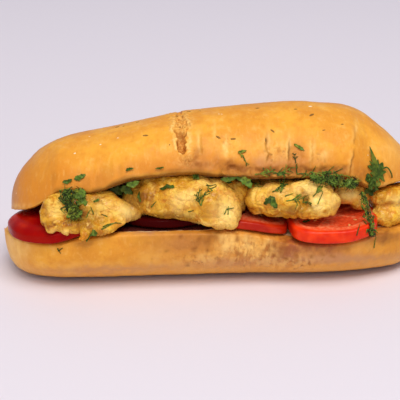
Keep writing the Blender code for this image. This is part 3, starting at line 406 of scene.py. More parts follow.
# Seeds on the crust: x, z, heading in degrees, size.
SEEDS = (
    (-33.1, 80.9, -20, 1.0), (0.8, 79.3, -50, 1.0), (7.7, 78.4, 5, 1.0), (18.9, 93.0, -5, 0.8),
    (36.8, 92.2, -10, 0.7), (44.4, 89.3, 65, 1.15), (26.2, 81.9, -60, 0.9), (23, 77.7, 80, 0.7),
    (50.4, 81.8, 20, 0.6), (59, 84.5, 15, 0.6), (-13, 92.0, 10, 0.8), (-8, 92.2, -5, 0.6),
    (-22, 76.2, 60, 0.4), (-46, 85.2, 5, 0.8), (-43, 85.6, -8, 0.6), (-36.5, 87.4, 0, 0.7),
)
# Size of a seed on the crust, and how far its middle lies under the surface.
SEED_LENGTH = 3.0
SEED_WIDTH = 1.15
SEED_HEIGHT = SEED_WIDTH / 1.2
SEED_SUNK = 0.1
# Pale flecks: x, z, size.
FLECKS = (
    (-66, 73, 0.45), (-94, 54, 0.35), (-54, 77, 0.4), (43.6, 93.4, 0.8), (-46, 80, 0.4), (1, 90.6, 0.35),
    (2.4, 90.5, 0.3), (-59, 81, 0.35), (76, 67, 0.3), (72, 69, 0.25),
)
FLECK_HEADING = 0.3
FLECK_COLOURS = ((0.92, 0.74, 0.5), (0.85, 0.6, 0.33))

# Gloss; then the share of light that goes in, and how far red, green and blue go in, in metres.
GLOSS = 0.16
DARK_GLOSS = 0.05
SHADED_GLOSS = 0.02
SEED_GLOSS = 0.15
FLOOR_GLOSS = 0.2
DEPTH_BREAD = (0.03, (0.002, 0.0012, 0.0006))
DEPTH_TOMATO = (0.05, (0.003, 0.0008, 0.0004))
DEPTH_BATTER = (0.08, (0.003, 0.0016, 0.0005))
DEPTH_HERB = (0.04, (0.0004, 0.001, 0.0003))

# The stage, in metres. Lights: name, place, size, colour.
FLOOR_REACH = 4.0
SKY_COLOUR = (0.93, 0.92, 1.0)
LIGHTS = (
    ("key", (0.25, -0.9, 1.9), 1.1, (1.0, 0.98, 0.96)),
    ("fill", (-0.7, -1.9, 1.0), 1.2, (1.0, 0.98, 0.97)),
    ("glint", (-0.25, -1.1, 1.15), 0.08, (1.0, 0.98, 0.95)),
)
LIGHT_AIM = Vector((0.0, 0.0, 0.03))
CAMERA_AIM = Vector((-0.0067, 0.0029, 0.0324))
CAMERA_LENS = 100.0
SENSOR_WIDTH = 36.0


# Smooth curves and unevenness.


def smooth(t):
    t = np.clip(t, 0.0, 1.0)
    return t * t * (3.0 - 2.0 * t)


def along(x, stops):
    """The value at x on a smooth curve through the (x, value) stops."""
    places = np.array([stop[0] for stop in stops], float)
    values = np.array([stop[1] for stop in stops], float)
    x = np.clip(x, places[0], places[-1])
    low = np.clip(np.searchsorted(places, x) - 1, 0, len(places) - 2)
    before, after = np.maximum(low - 1, 0), np.minimum(low + 2, len(places) - 1)
    x1, x2, v1, v2 = places[low], places[low + 1], values[low], values[low + 1]
    share = (x - x1) / (x2 - x1)
    slope_1 = (v2 - values[before]) / (x2 - places[before]) * (x2 - x1)
    slope_2 = (values[after] - v1) / (places[after] - x1) * (x2 - x1)
    square, cube = share**2, share**3
    return (
        v1 * (2 * cube - 3 * square + 1) + slope_1 * (cube - 2 * square + share)
        + v2 * (3 * square - 2 * cube) + slope_2 * (cube - square)
    )


def bump(x, centre, half_width):
    return np.exp(-(((x - centre) / half_width) ** 2))


def end_share(x, half_length, power):
    return np.sqrt(np.maximum(0.0, 1.0 - np.abs(x / half_length) ** power))


def signed_power(value, power):
    return np.sign(value) * np.abs(value) ** power


def scatter(cell, seed):
    """A steady number from -1 to 1 for each whole-numbered cell."""
    mixed = cell[..., 0] * 73856093 ^ cell[..., 1] * 19349663 ^ cell[..., 2] * 83492791
    mixed = mixed ^ np.int64(seed * 26544357)
    mixed = ((mixed ^ mixed >> 15) * 22468225) & 0xFFFFFFFF
    mixed = ((mixed ^ mixed >> 13) * 32664899) & 0xFFFFFFFF
    return (mixed ^ mixed >> 16) / 2147483648.0 - 1.0


def uneven(points, size, seed):
    """Soft unevenness from about -1 to 1 with lumps of this size; each use has its own seed."""
    scaled = np.asarray(points, float) / size + seed * 7.31
    whole = np.floor(scaled).astype(np.int64)
    part = scaled - whole
    fade = part**3 * (part * (part * 6.0 - 15.0) + 10.0)
    total = np.zeros(scaled.shape[:-1])
    for corner in range(8):
        step = np.array((corner & 1, corner >> 1 & 1, corner >> 2 & 1))
        weight = np.prod(np.where(step, fade, 1.0 - fade), axis=-1)
        total += weight * scatter(whole + step, seed)
    return total


def rough(points, size, seed, levels=3):
    """Unevenness with finer unevenness on it."""
    total = np.zeros(np.asarray(points).shape[:-1])
    for level in range(levels):
        total += uneven(points, size / 2.0**level, seed + level) * 0.5**level
    return total / 1.6


def solid_noise(x, rise, swell):
    """The broad unevenness that the solids have."""
    strength, size, seed = swell
    flat = [noise.noise((a / size + seed, b / size, 0.0)) for a, b in zip(x.ravel(), rise.ravel())]
    return strength * np.array(flat).reshape(x.shape)


def flakes(u, v, size, seed):
    """Random flakes: each one's own number from -1 to 1, and how far its edge is."""
    across, up = u / size, v / size
    i, j = np.floor(across).astype(np.int64), np.floor(up).astype(np.int64)
    nearest, second = np.full(u.shape, 9.0), np.full(u.shape, 9.0)
    own = np.zeros(u.shape)
    for step_i in (-1, 0, 1):
        for step_j in (-1, 0, 1):
            cell = np.stack((i + step_i, j + step_j, np.zeros_like(i)), -1)
            middle_u = i + step_i + 0.5 + 0.45 * scatter(cell, seed)
            middle_v = j + step_j + 0.5 + 0.45 * scatter(cell, seed + 1)
            distance = np.hypot(across - middle_u, up - middle_v)
            closer = distance < nearest
            second = np.where(closer, nearest, np.minimum(second, distance))
            own = np.where(closer, scatter(cell, seed + 2), own)
            nearest = np.where(closer, distance, nearest)
    return own, (second - nearest) * size


# Making meshes.


def placed(points):
    """From the millimetres of the design to metres in the frame."""
    return (np.asarray(points, float) - (MIDDLE[0], MIDDLE[1], 0.0)) * MM


def designed(points):
    return np.asarray(points, float) / MM + (MIDDLE[0], MIDDLE[1], 0.0)


def new_piece(name, points, faces, finish, nodes=()):
    """Makes a piece of the object from points in millimetres."""
    mesh = bpy.data.meshes.new(name)
    mesh.from_pydata(placed(points).tolist(), [], faces)
    mesh.update()
    mesh.shade_smooth()
    mesh.materials.append(finish)
    piece = bpy.data.objects.new(name, mesh)
    bpy.context.scene.collection.objects.link(piece)
    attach(piece, BODY)
    if nodes:
        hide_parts(*nodes)
    return piece


def add_mask(piece, name, values):
    made = piece.data.attributes.new(name, "FLOAT", "POINT")
    made.data.foreach_set("value", np.clip(values, 0.0, 1.0).astype(np.float32).ravel())


def add_ring_masks(piece, shape, masks):
    """Adds masks whose values are given on rings of this shape, or as one value for all."""
    for name, values in masks.items():
        add_mask(piece, name, ring_values(np.broadcast_to(values, shape)))


def grid_normals(points):
    """Outward normals of rings of points."""
    down = np.gradient(points, axis=0)
    across = np.roll(points, -1, 1) - np.roll(points, 1, 1)
    normal = np.cross(across, down)
    normal /= np.maximum(np.linalg.norm(normal, axis=2, keepdims=True), 1e-9)
    outward = np.sum(normal * (points - points.mean(1, keepdims=True)))
    return normal if outward > 0.0 else -normal


def ring_values(values):
    """One value a vertex for rings that are closed at both ends by one point."""
    return np.concatenate(([values[0].mean()], values[1:-1].ravel(), [values[-1].mean()]))


def ring_mesh(points):
    """Vertices and faces of rings that are closed at both ends by one point."""
    rings, around = points.shape[0] - 2, points.shape[1]
    verts = np.vstack((points[0].mean(0), points[1:-1].reshape(-1, 3), points[-1].mean(0)))
    index = 1 + np.arange(rings * around).reshape(rings, around)
    beside = np.roll(index, -1, axis=1)
    quads = np.stack((index[:-1], index[1:], beside[1:], beside[:-1]), -1).reshape(-1, 4)
    first = np.stack((np.zeros(around, int), index[0], beside[0]), -1)
    last = np.stack((np.full(around, rings * around + 1), beside[-1], index[-1]), -1)
    a, b, c = (verts[quads[:, place]] for place in (0, 1, 2))
    if np.sum(np.cross(a, b) * c) < 0.0:
        quads, first, last = quads[:, ::-1], first[:, ::-1], last[:, ::-1]
    return verts, quads.tolist() + first.tolist() + last.tolist()


class Bundle:
    """Small closed things gathered into one mesh."""

    def __init__(self):
        self.points = []
        self.faces = []
        self.tones_and_shades = []
        self.tone = 0.5

    def add(self, points, faces):
        start = len(self.points)
        self.points.extend(np.asarray(points).tolist())
        self.tones_and_shades.extend([self.tone] * len(points))
        self.faces.extend([[start + corner for corner in face] for face in faces])

    def tube(self, path, widths, normal=None, flat=1.0, sides=5):
        """A tube along the path, flattened along the normal by the share flat."""
        path = np.asarray(path, float)
        ahead = np.gradient(path, axis=0)
        ahead /= np.maximum(np.linalg.norm(ahead, axis=1, keepdims=True), 1e-9)
        guide = np.array((0.31, -0.9, 0.3)) if normal is None else np.asarray(normal, float)
        side = np.cross(ahead, guide)
        side /= np.maximum(np.linalg.norm(side, axis=1, keepdims=True), 1e-9)
        up = np.cross(side, ahead)
        turns = np.arange(sides) * math.tau / sides
        radius = np.asarray(widths, float)[:, None, None] / 2.0
        ring = path[:, None] + radius * (
            np.cos(turns)[None, :, None] * side[:, None]
            + flat * np.sin(turns)[None, :, None] * up[:, None]
        )
        count = len(path)
        faces = [
            (row * sides + place, row * sides + (place + 1) % sides,
             (row + 1) * sides + (place + 1) % sides, (row + 1) * sides + place)
            for row in range(count - 1) for place in range(sides)
        ]
        faces.append(tuple(reversed(range(sides))))
        faces.append(tuple((count - 1) * sides + place for place in range(sides)))
        self.add(ring.reshape(-1, 3), faces)

    def sheet(self, top, normals, thickness):
        """A leaf from rings of points, the last ring its edge, the first one point many times."""
        rings, around = top.shape[:2]
        below = top - normals * thickness
        both = np.vstack((top.reshape(-1, 3), below.reshape(-1, 3)))
        lower = rings * around
        faces = []
        for row in range(rings - 1):
            for place in range(around):
                beside = (place + 1) % around
                a, b = row * around + place, row * around + beside
                c, d = (row + 1) * around + beside, (row + 1) * around + place
                if row == 0:
                    faces += ((a, c, d), (lower + a, lower + d, lower + c))
                else:
                    faces += ((a, b, c, d), (lower + a, lower + d, lower + c, lower + b))
        edge = (rings - 1) * around
        for place in range(around):
            beside = (place + 1) % around
            faces.append((edge + place, edge + beside, lower + edge + beside, lower + edge + place))
        self.add(both, faces)

    def blob(self, centre, radii, matrix, seed, levels=2):
        """A lumpy egg."""
        bm = bmesh.new()
        bmesh.ops.create_icosphere(bm, subdivisions=levels, radius=1.0)
        points = np.array([vert.co[:] for vert in bm.verts])
        faces = [[vert.index for vert in face.verts] for face in bm.faces]
        bm.free()
        points = points * (1.0 + 0.12 * uneven(points + seed * 3.7, 0.8, 5)[:, None])
        points = points * np.asarray(radii)
        self.add(points @ np.array(matrix)[:3, :3].T + np.asarray(centre), faces)

    def piece(self, name, finish, slot, nodes=()):
        """Makes the piece, with each vertex's tone and painted shade as a mask."""
        made = new_piece(name, self.points, self.faces, finish, nodes)
        add_mask(made, "tone", np.array(self.tones_and_shades))


# Making finishes.


class Look:
    """A finish in the making: each method adds a node and gives its output."""

    def __init__(self, name):
        self.material = bpy.data.materials.new(name)
        self.material.use_nodes = True
        self.tree = self.material.node_tree
        self.shader = self.tree.nodes["Principled BSDF"]
        self.place = self.add("ShaderNodeTexCoord").outputs["Object"]
        self.normal = None

    def join(self, value, socket):
        if isinstance(value, bpy.types.NodeSocket):
            self.tree.links.new(value, socket)
        elif socket.type == "RGBA":
            socket.default_value = (*value, 1.0)
        else:
            socket.default_value = value

    def add(self, kind, inputs=None, **settings):
        made = self.tree.nodes.new(kind)
        for name, value in settings.items():
            setattr(made, name, value)
        for name, value in (inputs or {}).items():
            self.join(value, made.inputs[name])
        return made

    def grain(self, size, detail=2.0, roughness=0.5, stretch=(1.0, 1.0, 1.0), warp=0.0):
        """Soft noise with lumps of this many millimetres."""
        scale = tuple(1.0 / (size * MM * share) for share in stretch)
        place = self.add("ShaderNodeMapping", {"Vector": self.place, "Scale": scale}).outputs["Vector"]
        settings = {"Detail": detail, "Roughness": roughness, "Distortion": warp}
        return self.add("ShaderNodeTexNoise", {"Vector": place, "Scale": 1.0, **settings}).outputs["Fac"]

    def cells(self, size):
        """Distance to scattered points this many millimetres apart."""
        settings = {"Vector": self.place, "Scale": 1.0 / (size * MM)}
        return self.add("ShaderNodeTexVoronoi", settings).outputs["Distance"]

    def mask(self, name):
        return self.add("ShaderNodeAttribute", attribute_name=name).outputs["Fac"]

    def spread(self, value, low, high, start=0.0, end=1.0):
        """Stretches the part of the value from low to high."""
        settings = {"Value": value, "From Min": low, "From Max": high, "To Min": start, "To Max": end}
        return self.add("ShaderNodeMapRange", settings, interpolation_type="SMOOTHSTEP").outputs["Result"]

    def calculate(self, operation, first, second):
        made = self.add("ShaderNodeMath", operation=operation)
        self.join(first, made.inputs[0])
        self.join(second, made.inputs[1])
        return made.outputs[0]

    def mix(self, share, first, second):
        made = self.add("ShaderNodeMix", data_type="RGBA")
        self.join(share, made.inputs[0])
        self.join(first, made.inputs[6])
        self.join(second, made.inputs[7])
        return made.outputs[2]

    def blotch(self, under, over, noise, low, high, share=1.0):
        """Lays blotches of up to this share over what is under them, from low to high noise."""
        return self.mix(self.spread(noise, low, high, 0.0, share), under, over)

    def cover(self, under, **colours):
        """Lays each colour over what is under it where the mask of that name says so."""
        for name, colour in colours.items():
            under = self.mix(self.mask(name), under, colour)
        return under

    def raise_by(self, height, millimetres, where=None):
        """Adds relief of this depth to the finish, only where the mask says so."""
        level = self.calculate("SUBTRACT", height, 0.5)
        if where is not None:
            level = self.calculate("MULTIPLY", level, where)
        inputs = {"Height": level, "Distance": millimetres * MM, "Strength": 1.0}
        if self.normal:
            inputs["Normal"] = self.normal
        self.normal = self.add("ShaderNodeBump", inputs).outputs["Normal"]

    def finish(self, colour, roughness, gloss, depth=None):
        """Ends the finish; depth is the share of light that goes in and how far each colour goes."""
        inputs = {"Base Color": colour, "Roughness": roughness, "Specular IOR Level": gloss}
        if self.normal:
            inputs["Normal"] = self.normal
        if depth:
            inputs["Subsurface Weight"], inputs["Subsurface Radius"] = depth
        for name, value in inputs.items():
            self.join(value, self.shader.inputs[name])
        return self.material


def bread_finish(name, settings):
    """Baked crust with cut or torn crumb where the masks say so."""
    look = Look(name)
    soft, fine = look.grain(15.0, 3.0), look.grain(2.0, 3.0, 0.6)
    streaks = look.grain(2.6, 3.0, 0.6, (0.6, 1.8, 1.8))
    middling = look.grain(5.0, 3.0, 0.6)
    gold = look.blotch(settings.gold, settings.deep, soft, 0.36, 0.64, 0.6)
    gold = look.blotch(gold, settings.deep, middling, 0.5, 0.68, 0.5)
    gold = look.blotch(gold, settings.pale, middling, 0.46, 0.3, 0.3)
    gold = look.cover(gold, deep=settings.deep)
    gold = look.blotch(gold, settings.pale, streaks, 0.54, 0.72, 0.22)
    gold = look.blotch(gold, settings.deep, fine, 0.54, 0.74, 0.35)
    gold = look.cover(gold, pale=settings.pale, stain=settings.stain, dusky=settings.dusky)
    flames = look.spread(look.grain(3.6, 3.0, 0.55, (0.8, 1.2, 1.8), warp=0.5), 0.4, 0.58)
    scales = look.mix(flames, settings.torn, settings.pale)
    scaly = look.mask("scaly")
    gold = look.mix(scaly, gold, scales)
    flaky = look.blotch(settings.torn, settings.pale, look.grain(1.3, 3.0), 0.4, 0.6)
    gold = look.cover(gold, torn=flaky, brown=settings.browned, toast=settings.toast)
    pits = look.spread(look.grain(2.8, 2.0, 0.5, (0.8, 1.0, 1.4), warp=0.4), 0.56, 0.72)
    pits = look.calculate("MULTIPLY", pits, look.mask("pitted"))
    gold = look.mix(pits, gold, settings.browned)
    holes = look.cells(2.1)
    crumb = look.blotch(settings.crumb, settings.crumb_shade, look.grain(5.0, 3.0), 0.35, 0.7)
    crumb = look.mix(look.spread(holes, 0.05, 0.35, 0.55, 0.0), crumb, settings.crumb_shade)
    open_crumb = look.mask("crumb")
    colour = look.cover(look.mix(open_crumb, gold, crumb), juice=settings.juice)
    opened = look.calculate("MAXIMUM", open_crumb, look.mask("torn"))
    look.raise_by(look.spread(holes, 0.0, 0.4), 0.8, open_crumb)
    look.raise_by(look.grain(1.0, 4.0, 0.7), 0.9, opened)
    look.raise_by(flames, 0.35, scaly)
    look.raise_by(look.calculate("SUBTRACT", 0.5, pits), 0.2)
    look.raise_by(look.grain(4.0, 3.0, 0.55, (0.6, 1.4, 1.4)), 0.36)
    look.raise_by(fine, 0.12)
    look.raise_by(look.grain(0.7, 2.0), 0.035)
    shine = look.spread(look.grain(7.0, 3.0), 0.3, 0.7, settings.shine - 0.06, settings.shine + 0.1)
    return look.finish(colour, look.mix(opened, shine, (0.85, 0.85, 0.85)), GLOSS, DEPTH_BREAD)


def tomato_finish(name, settings, shade, gloss):
    """Skin, flesh and jelly where the masks say so, darker in the shade."""
    look = Look(name)
    skin = look.blotch(settings.skin, settings.skin_deep, look.grain(9.0, 2.0), 0.35, 0.65)
    skin = look.mix(look.spread(look.cells(1.1), 0.06, 0.12, 0.35, 0.0), skin, settings.flesh)
    skin = look.blotch(skin, settings.flesh, look.grain(3.4, 2.0), 0.5, 0.7, 0.3)
    threads = look.grain(2.0, 3.0, 0.6)
    flesh = look.blotch(settings.flesh, settings.flesh_pale, threads, 0.35, 0.65)
    gel = look.blotch(settings.gel, settings.flesh, look.grain(1.6, 2.0), 0.4, 0.65)
    colour = look.cover(skin, flesh=flesh, rim=settings.flesh_pale, gel=gel, shade=shade)
    cut = look.calculate("MAXIMUM", look.mask("flesh"), look.mask("gel"))
    look.raise_by(threads, 0.35, cut)
    look.raise_by(look.grain(5.0, 2.0), 0.1)
    wet = look.mix(look.mask("gel"), (0.24, 0.24, 0.24), (0.1, 0.1, 0.1))
    return look.finish(colour, wet, gloss, DEPTH_TOMATO)


def batter_finish(name, settings):
    """Fried batter: mottled, wrinkled, with thin pale and browned places; its creases and shaded places get
    painted shade.
    """
    look = Look(name)
    broad, patches = look.grain(9.0, 2.0, 0.45, warp=0.9), look.grain(6.5, 2.0, 0.5, warp=1.0)
    fine, wavy = look.grain(3.6, 2.0, 0.5, warp=0.6), look.grain(5.4, 2.0, 0.5, warp=0.9)
    from_middle = look.calculate("ABSOLUTE", look.calculate("SUBTRACT", wavy, 0.5), 0.0)
    wrinkle = look.spread(from_middle, 0.0, 0.035)
    batter = look.blotch(settings.batter, settings.batter_deep, patches, 0.45, 0.55)
    batter = look.blotch(batter, settings.batter_pale, broad, 0.5, 0.6, 0.8)
    batter = look.blotch(batter, settings.amber, look.grain(4.6, 3.0, 0.5, warp=0.9), 0.53, 0.63, 0.9)
    batter = look.mix(look.spread(wrinkle, 0.0, 1.0, 0.3, 0.0), batter, settings.amber)
    batter = look.cover(batter, pale=settings.meat)
    fried = look.blotch(settings.fried, settings.batter_deep, look.grain(4.0, 2.0, 0.5, warp=0.8), 0.42, 0.58)
    # Browned batter and painted shade where the masks say so.
    batter = look.cover(batter, fried=fried, dim=settings.dim)
    batter = look.blotch(batter, settings.batter_pale, fine, 0.6, 0.7, 0.55)
    # Painted shade in the batter's creases, in the browned colour.
    batter = look.cover(batter, crease=settings.fried)
    look.raise_by(wrinkle, 0.16)
    look.raise_by(look.grain(3.4, 2.0, 0.5, warp=0.8), 0.6)
    look.raise_by(look.grain(1.2, 2.0, 0.5), 0.08)
    shine = look.spread(look.grain(3.0, 3.0), 0.35, 0.65, settings.shine - 0.08, settings.shine + 0.1)
    return look.finish(batter, shine, GLOSS, DEPTH_BATTER)


def herb_finish(name, light, dark, settings):
    """Green with yellowed bits, darker where the tone is high, which is partly painted shade."""
    look = Look(name)
    green = look.blotch(light, dark, look.grain(1.7, 3.0, 0.6), 0.38, 0.62, 0.75)
    green = look.blotch(green, settings.yellowed, look.grain(5.0, 2.0), 0.52, 0.7, 0.6)
    green = look.cover(green, tone=dark)
    look.raise_by(look.grain(0.8, 2.0), 0.12)
    return look.finish(green, look.spread(look.grain(1.5), 0.3, 0.7, 0.35, 0.55), GLOSS, DEPTH_HERB)


def seed_finish(name, light, dark):
    look = Look(name)
    colour = look.blotch(light, dark, look.grain(0.7, 2.0), 0.35, 0.65)
    look.raise_by(look.grain(0.35, 2.0), 0.08)
    return look.finish(colour, look.spread(look.grain(0.9), 0.3, 0.7, 0.4, 0.65), SEED_GLOSS)


# Places as they look from the front.


def seen_from_front(points):
    """x and z where the line from the eye to each point crosses the plane before the sandwich."""
    eye = np.array(EYE)
    share = (PLANE_Y - eye[1]) / (points[..., 1] - eye[1])
    return eye[0] + (points[..., 0] - eye[0]) * share, eye[2] + (points[..., 2] - eye[2]) * share


def painted(points, places, seed, ragged=1.0):
    """How strongly each point lies in the places, whose outlines are uneven."""
    x, z = seen_from_front(points)
    wander, lift = (
        1.1 * ragged * uneven(points, 3.2, own) + 0.5 * ragged * uneven(points, 1.3, own + 1)
        for own in (seed, seed + 2)
    )
    total = np.zeros(points.shape[:-1])
    for place_x, place_z, along_radius, up_radius, strength in places:
        aside = bump(x + min(1.0, 0.5 * along_radius) * wander, place_x, along_radius)
        total += strength * aside * bump(z + min(1.0, 0.5 * up_radius) * lift, place_z, up_radius)
    return total


# The bread.


def cut_bend(x, across):
    """How much the cut face of the upper half is raised, across it from the back to the front."""
    share = end_share(x - TOP_SHIFT, TOP_HALF_LENGTH, TOP_PLAN_POWER)
    sag = along(x, TOP_SAG)
    back_edge = TOP_CENTRE[1] + 0.6 * sag - TOP_HALF_DEPTH * share * math.sin(TOP_TILT) - TOP_LIP
    drop = np.maximum(0.0, back_edge - along(x, BACK_LIP_HEIGHT) + BACK_NIP)
    drop = drop * smooth((share - 0.45) / 0.4)
    return sag * (0.8 + 0.2 * across) - np.where(across >= 0.0, 0.0, drop * across**2)


def top_form(x, angles):
    """Rings of the upper half without its small relief: points, the rise above the lip, how much
    relief there is room for, and the cosine of the angle round the ring."""
    length_x = x - TOP_SHIFT
    y0, z0 = TOP_CENTRE
    share = end_share(length_x, TOP_HALF_LENGTH, TOP_PLAN_POWER)
    half_depth = TOP_HALF_DEPTH * share
    ridge = along(x, RIDGE) - y0 * math.sin(TOP_TILT) - (z0 + cut_bend(x, 0.0 * x)) * math.cos(TOP_TILT)
    crown = ridge * end_share(length_x, TOP_HALF_LENGTH, RIDGE_POWER)
    sine, cosine = np.sin(angles)[None, :], np.cos(angles)[None, :]
    upper = sine >= 0.0
    turn = np.where(upper, 2.0 / CRUST_POWER, 2.0 / CUT_POWER)
    across = signed_power(cosine, turn)
    forward = half_depth[:, None] * across
    rise = np.where(upper, crown[:, None], TOP_LIP * share[:, None]) * signed_power(sine, turn)
    wide_x = x[:, None] + 0.0 * rise
    fade = np.where(upper, np.minimum(1.0, half_depth[:, None] / FULL_RELIEF_DEPTH), 0.0)
    dent_x, dent_width, dent_depth, dent_top = LIP_DENT
    dent = dent_depth * bump(wide_x, dent_x, dent_width) * smooth((dent_top - rise) / 4.0)
    broad = solid_noise(wide_x, rise, TOP_SWELL) - np.where(cosine > 0.0, dent, 0.0)
    swell = 1.0 + fade * broad * TOP_SWELL_SHARE
    forward, high = forward * swell, rise * swell
    y = y0 - forward * math.cos(TOP_TILT) + high * math.sin(TOP_TILT)
    bend = cut_bend(wide_x, across + 0.0 * wide_x)
    z = z0 + bend + forward * math.sin(TOP_TILT) + high * math.cos(TOP_TILT)
    return np.stack((wide_x, y, z), -1), rise, fade, cosine + 0.0 * wide_x


def tear(x, rise, front):
    """The torn place: how open it is, its ragged rim, and how flaky it is round it."""
    spot = np.stack((0.6 * x, rise, 0.0 * rise), -1)
    left = along(rise, TEAR_LEFT) + 0.8 * uneven(spot, 2.1, 3) + 0.45 * uneven(spot, 0.8, 5)
    right = along(rise, TEAR_RIGHT) + 0.8 * uneven(spot, 1.7, 7) + 0.45 * uneven(spot, 0.8, 9)
    inside = smooth((x - left) / 0.5) * smooth((right - x) / 0.8)
    reach = smooth((rise - 6.6) / 1.4) * (1.0 - 0.72 * smooth((rise - 17.0) / 3.4))
    chipped = smooth(0.6 + 1.2 * uneven(spot, 1.3, 17))
    reach = np.where(front, reach * np.where(rise > 18.0, chipped, 1.0), reach * 0.3)
    chips = np.clip(0.55 + 0.9 * uneven(spot, 1.7, 13) + 0.5 * uneven(spot, 0.8, 15), 0.0, 1.3)
    rim = np.maximum(bump(x, left - 0.8, 0.9), bump(x, right + 0.9, 1.1)) * (1.0 - inside) * chips
    rim = rim * smooth((rise - 5.0) / 3.0) * smooth((28.0 - rise) / 5.0)
    patch = bump(x, -15.2, 5.6) * bump(rise, 24.5, 5.6) + 0.7 * bump(x, -13.0, 4.4) * bump(rise, 4.0, 3.2)
    patch = patch + 0.35 * bump(x, -15.6, 4.4) * smooth((24.0 - rise) / 4.0) * smooth((rise - 8.0) / 6.0)
    return inside * reach, rim * np.where(front, 1.0, 0.3), np.clip(patch, 0.0, 1.0) * front


def creases(x, rise):
    """Relief of the creases, how near one is (which sets painted shade), and a painted highlight to its left.
    """
    relief, near, edge = np.zeros(x.shape), np.zeros(x.shape), np.zeros(x.shape)
    for stops, low, high, depth, tail, swelling in CREASES:
        ragged = np.stack((rise, 0.15 * x, 0.0 * x), -1)
        line = along(rise, stops) + 0.4 * uneven(ragged, 2.2, int(depth * 40))
        line = line + 0.2 * uneven(ragged, 0.9, int(depth * 50))
        reach = smooth((rise - low + 1.0) / 3.0) * smooth((high + 2.0 - rise) / 6.0)
        reach = reach * (0.7 + 0.5 * uneven(ragged, 3.0, int(depth * 60)))
        past = smooth((x - line + 0.3) / 0.6)
        beyond = past * np.exp(-np.maximum(0.0, x - line) / tail)
        before = np.exp(-((np.minimum(0.0, x - line - 0.2) / 2.6) ** 2)) * (1.0 - past)
        relief += reach * (swelling * before - depth * beyond)
        near = np.maximum(near, reach * np.clip(depth, 0.0, 1.0) * bump(x, line + 0.35, 0.7))
        near = np.maximum(near, 0.35 * reach * np.clip(depth, 0.0, 1.0) * beyond)
        edge = np.maximum(edge, reach * bump(x, line - 0.8, 0.7))
    return relief, near, edge


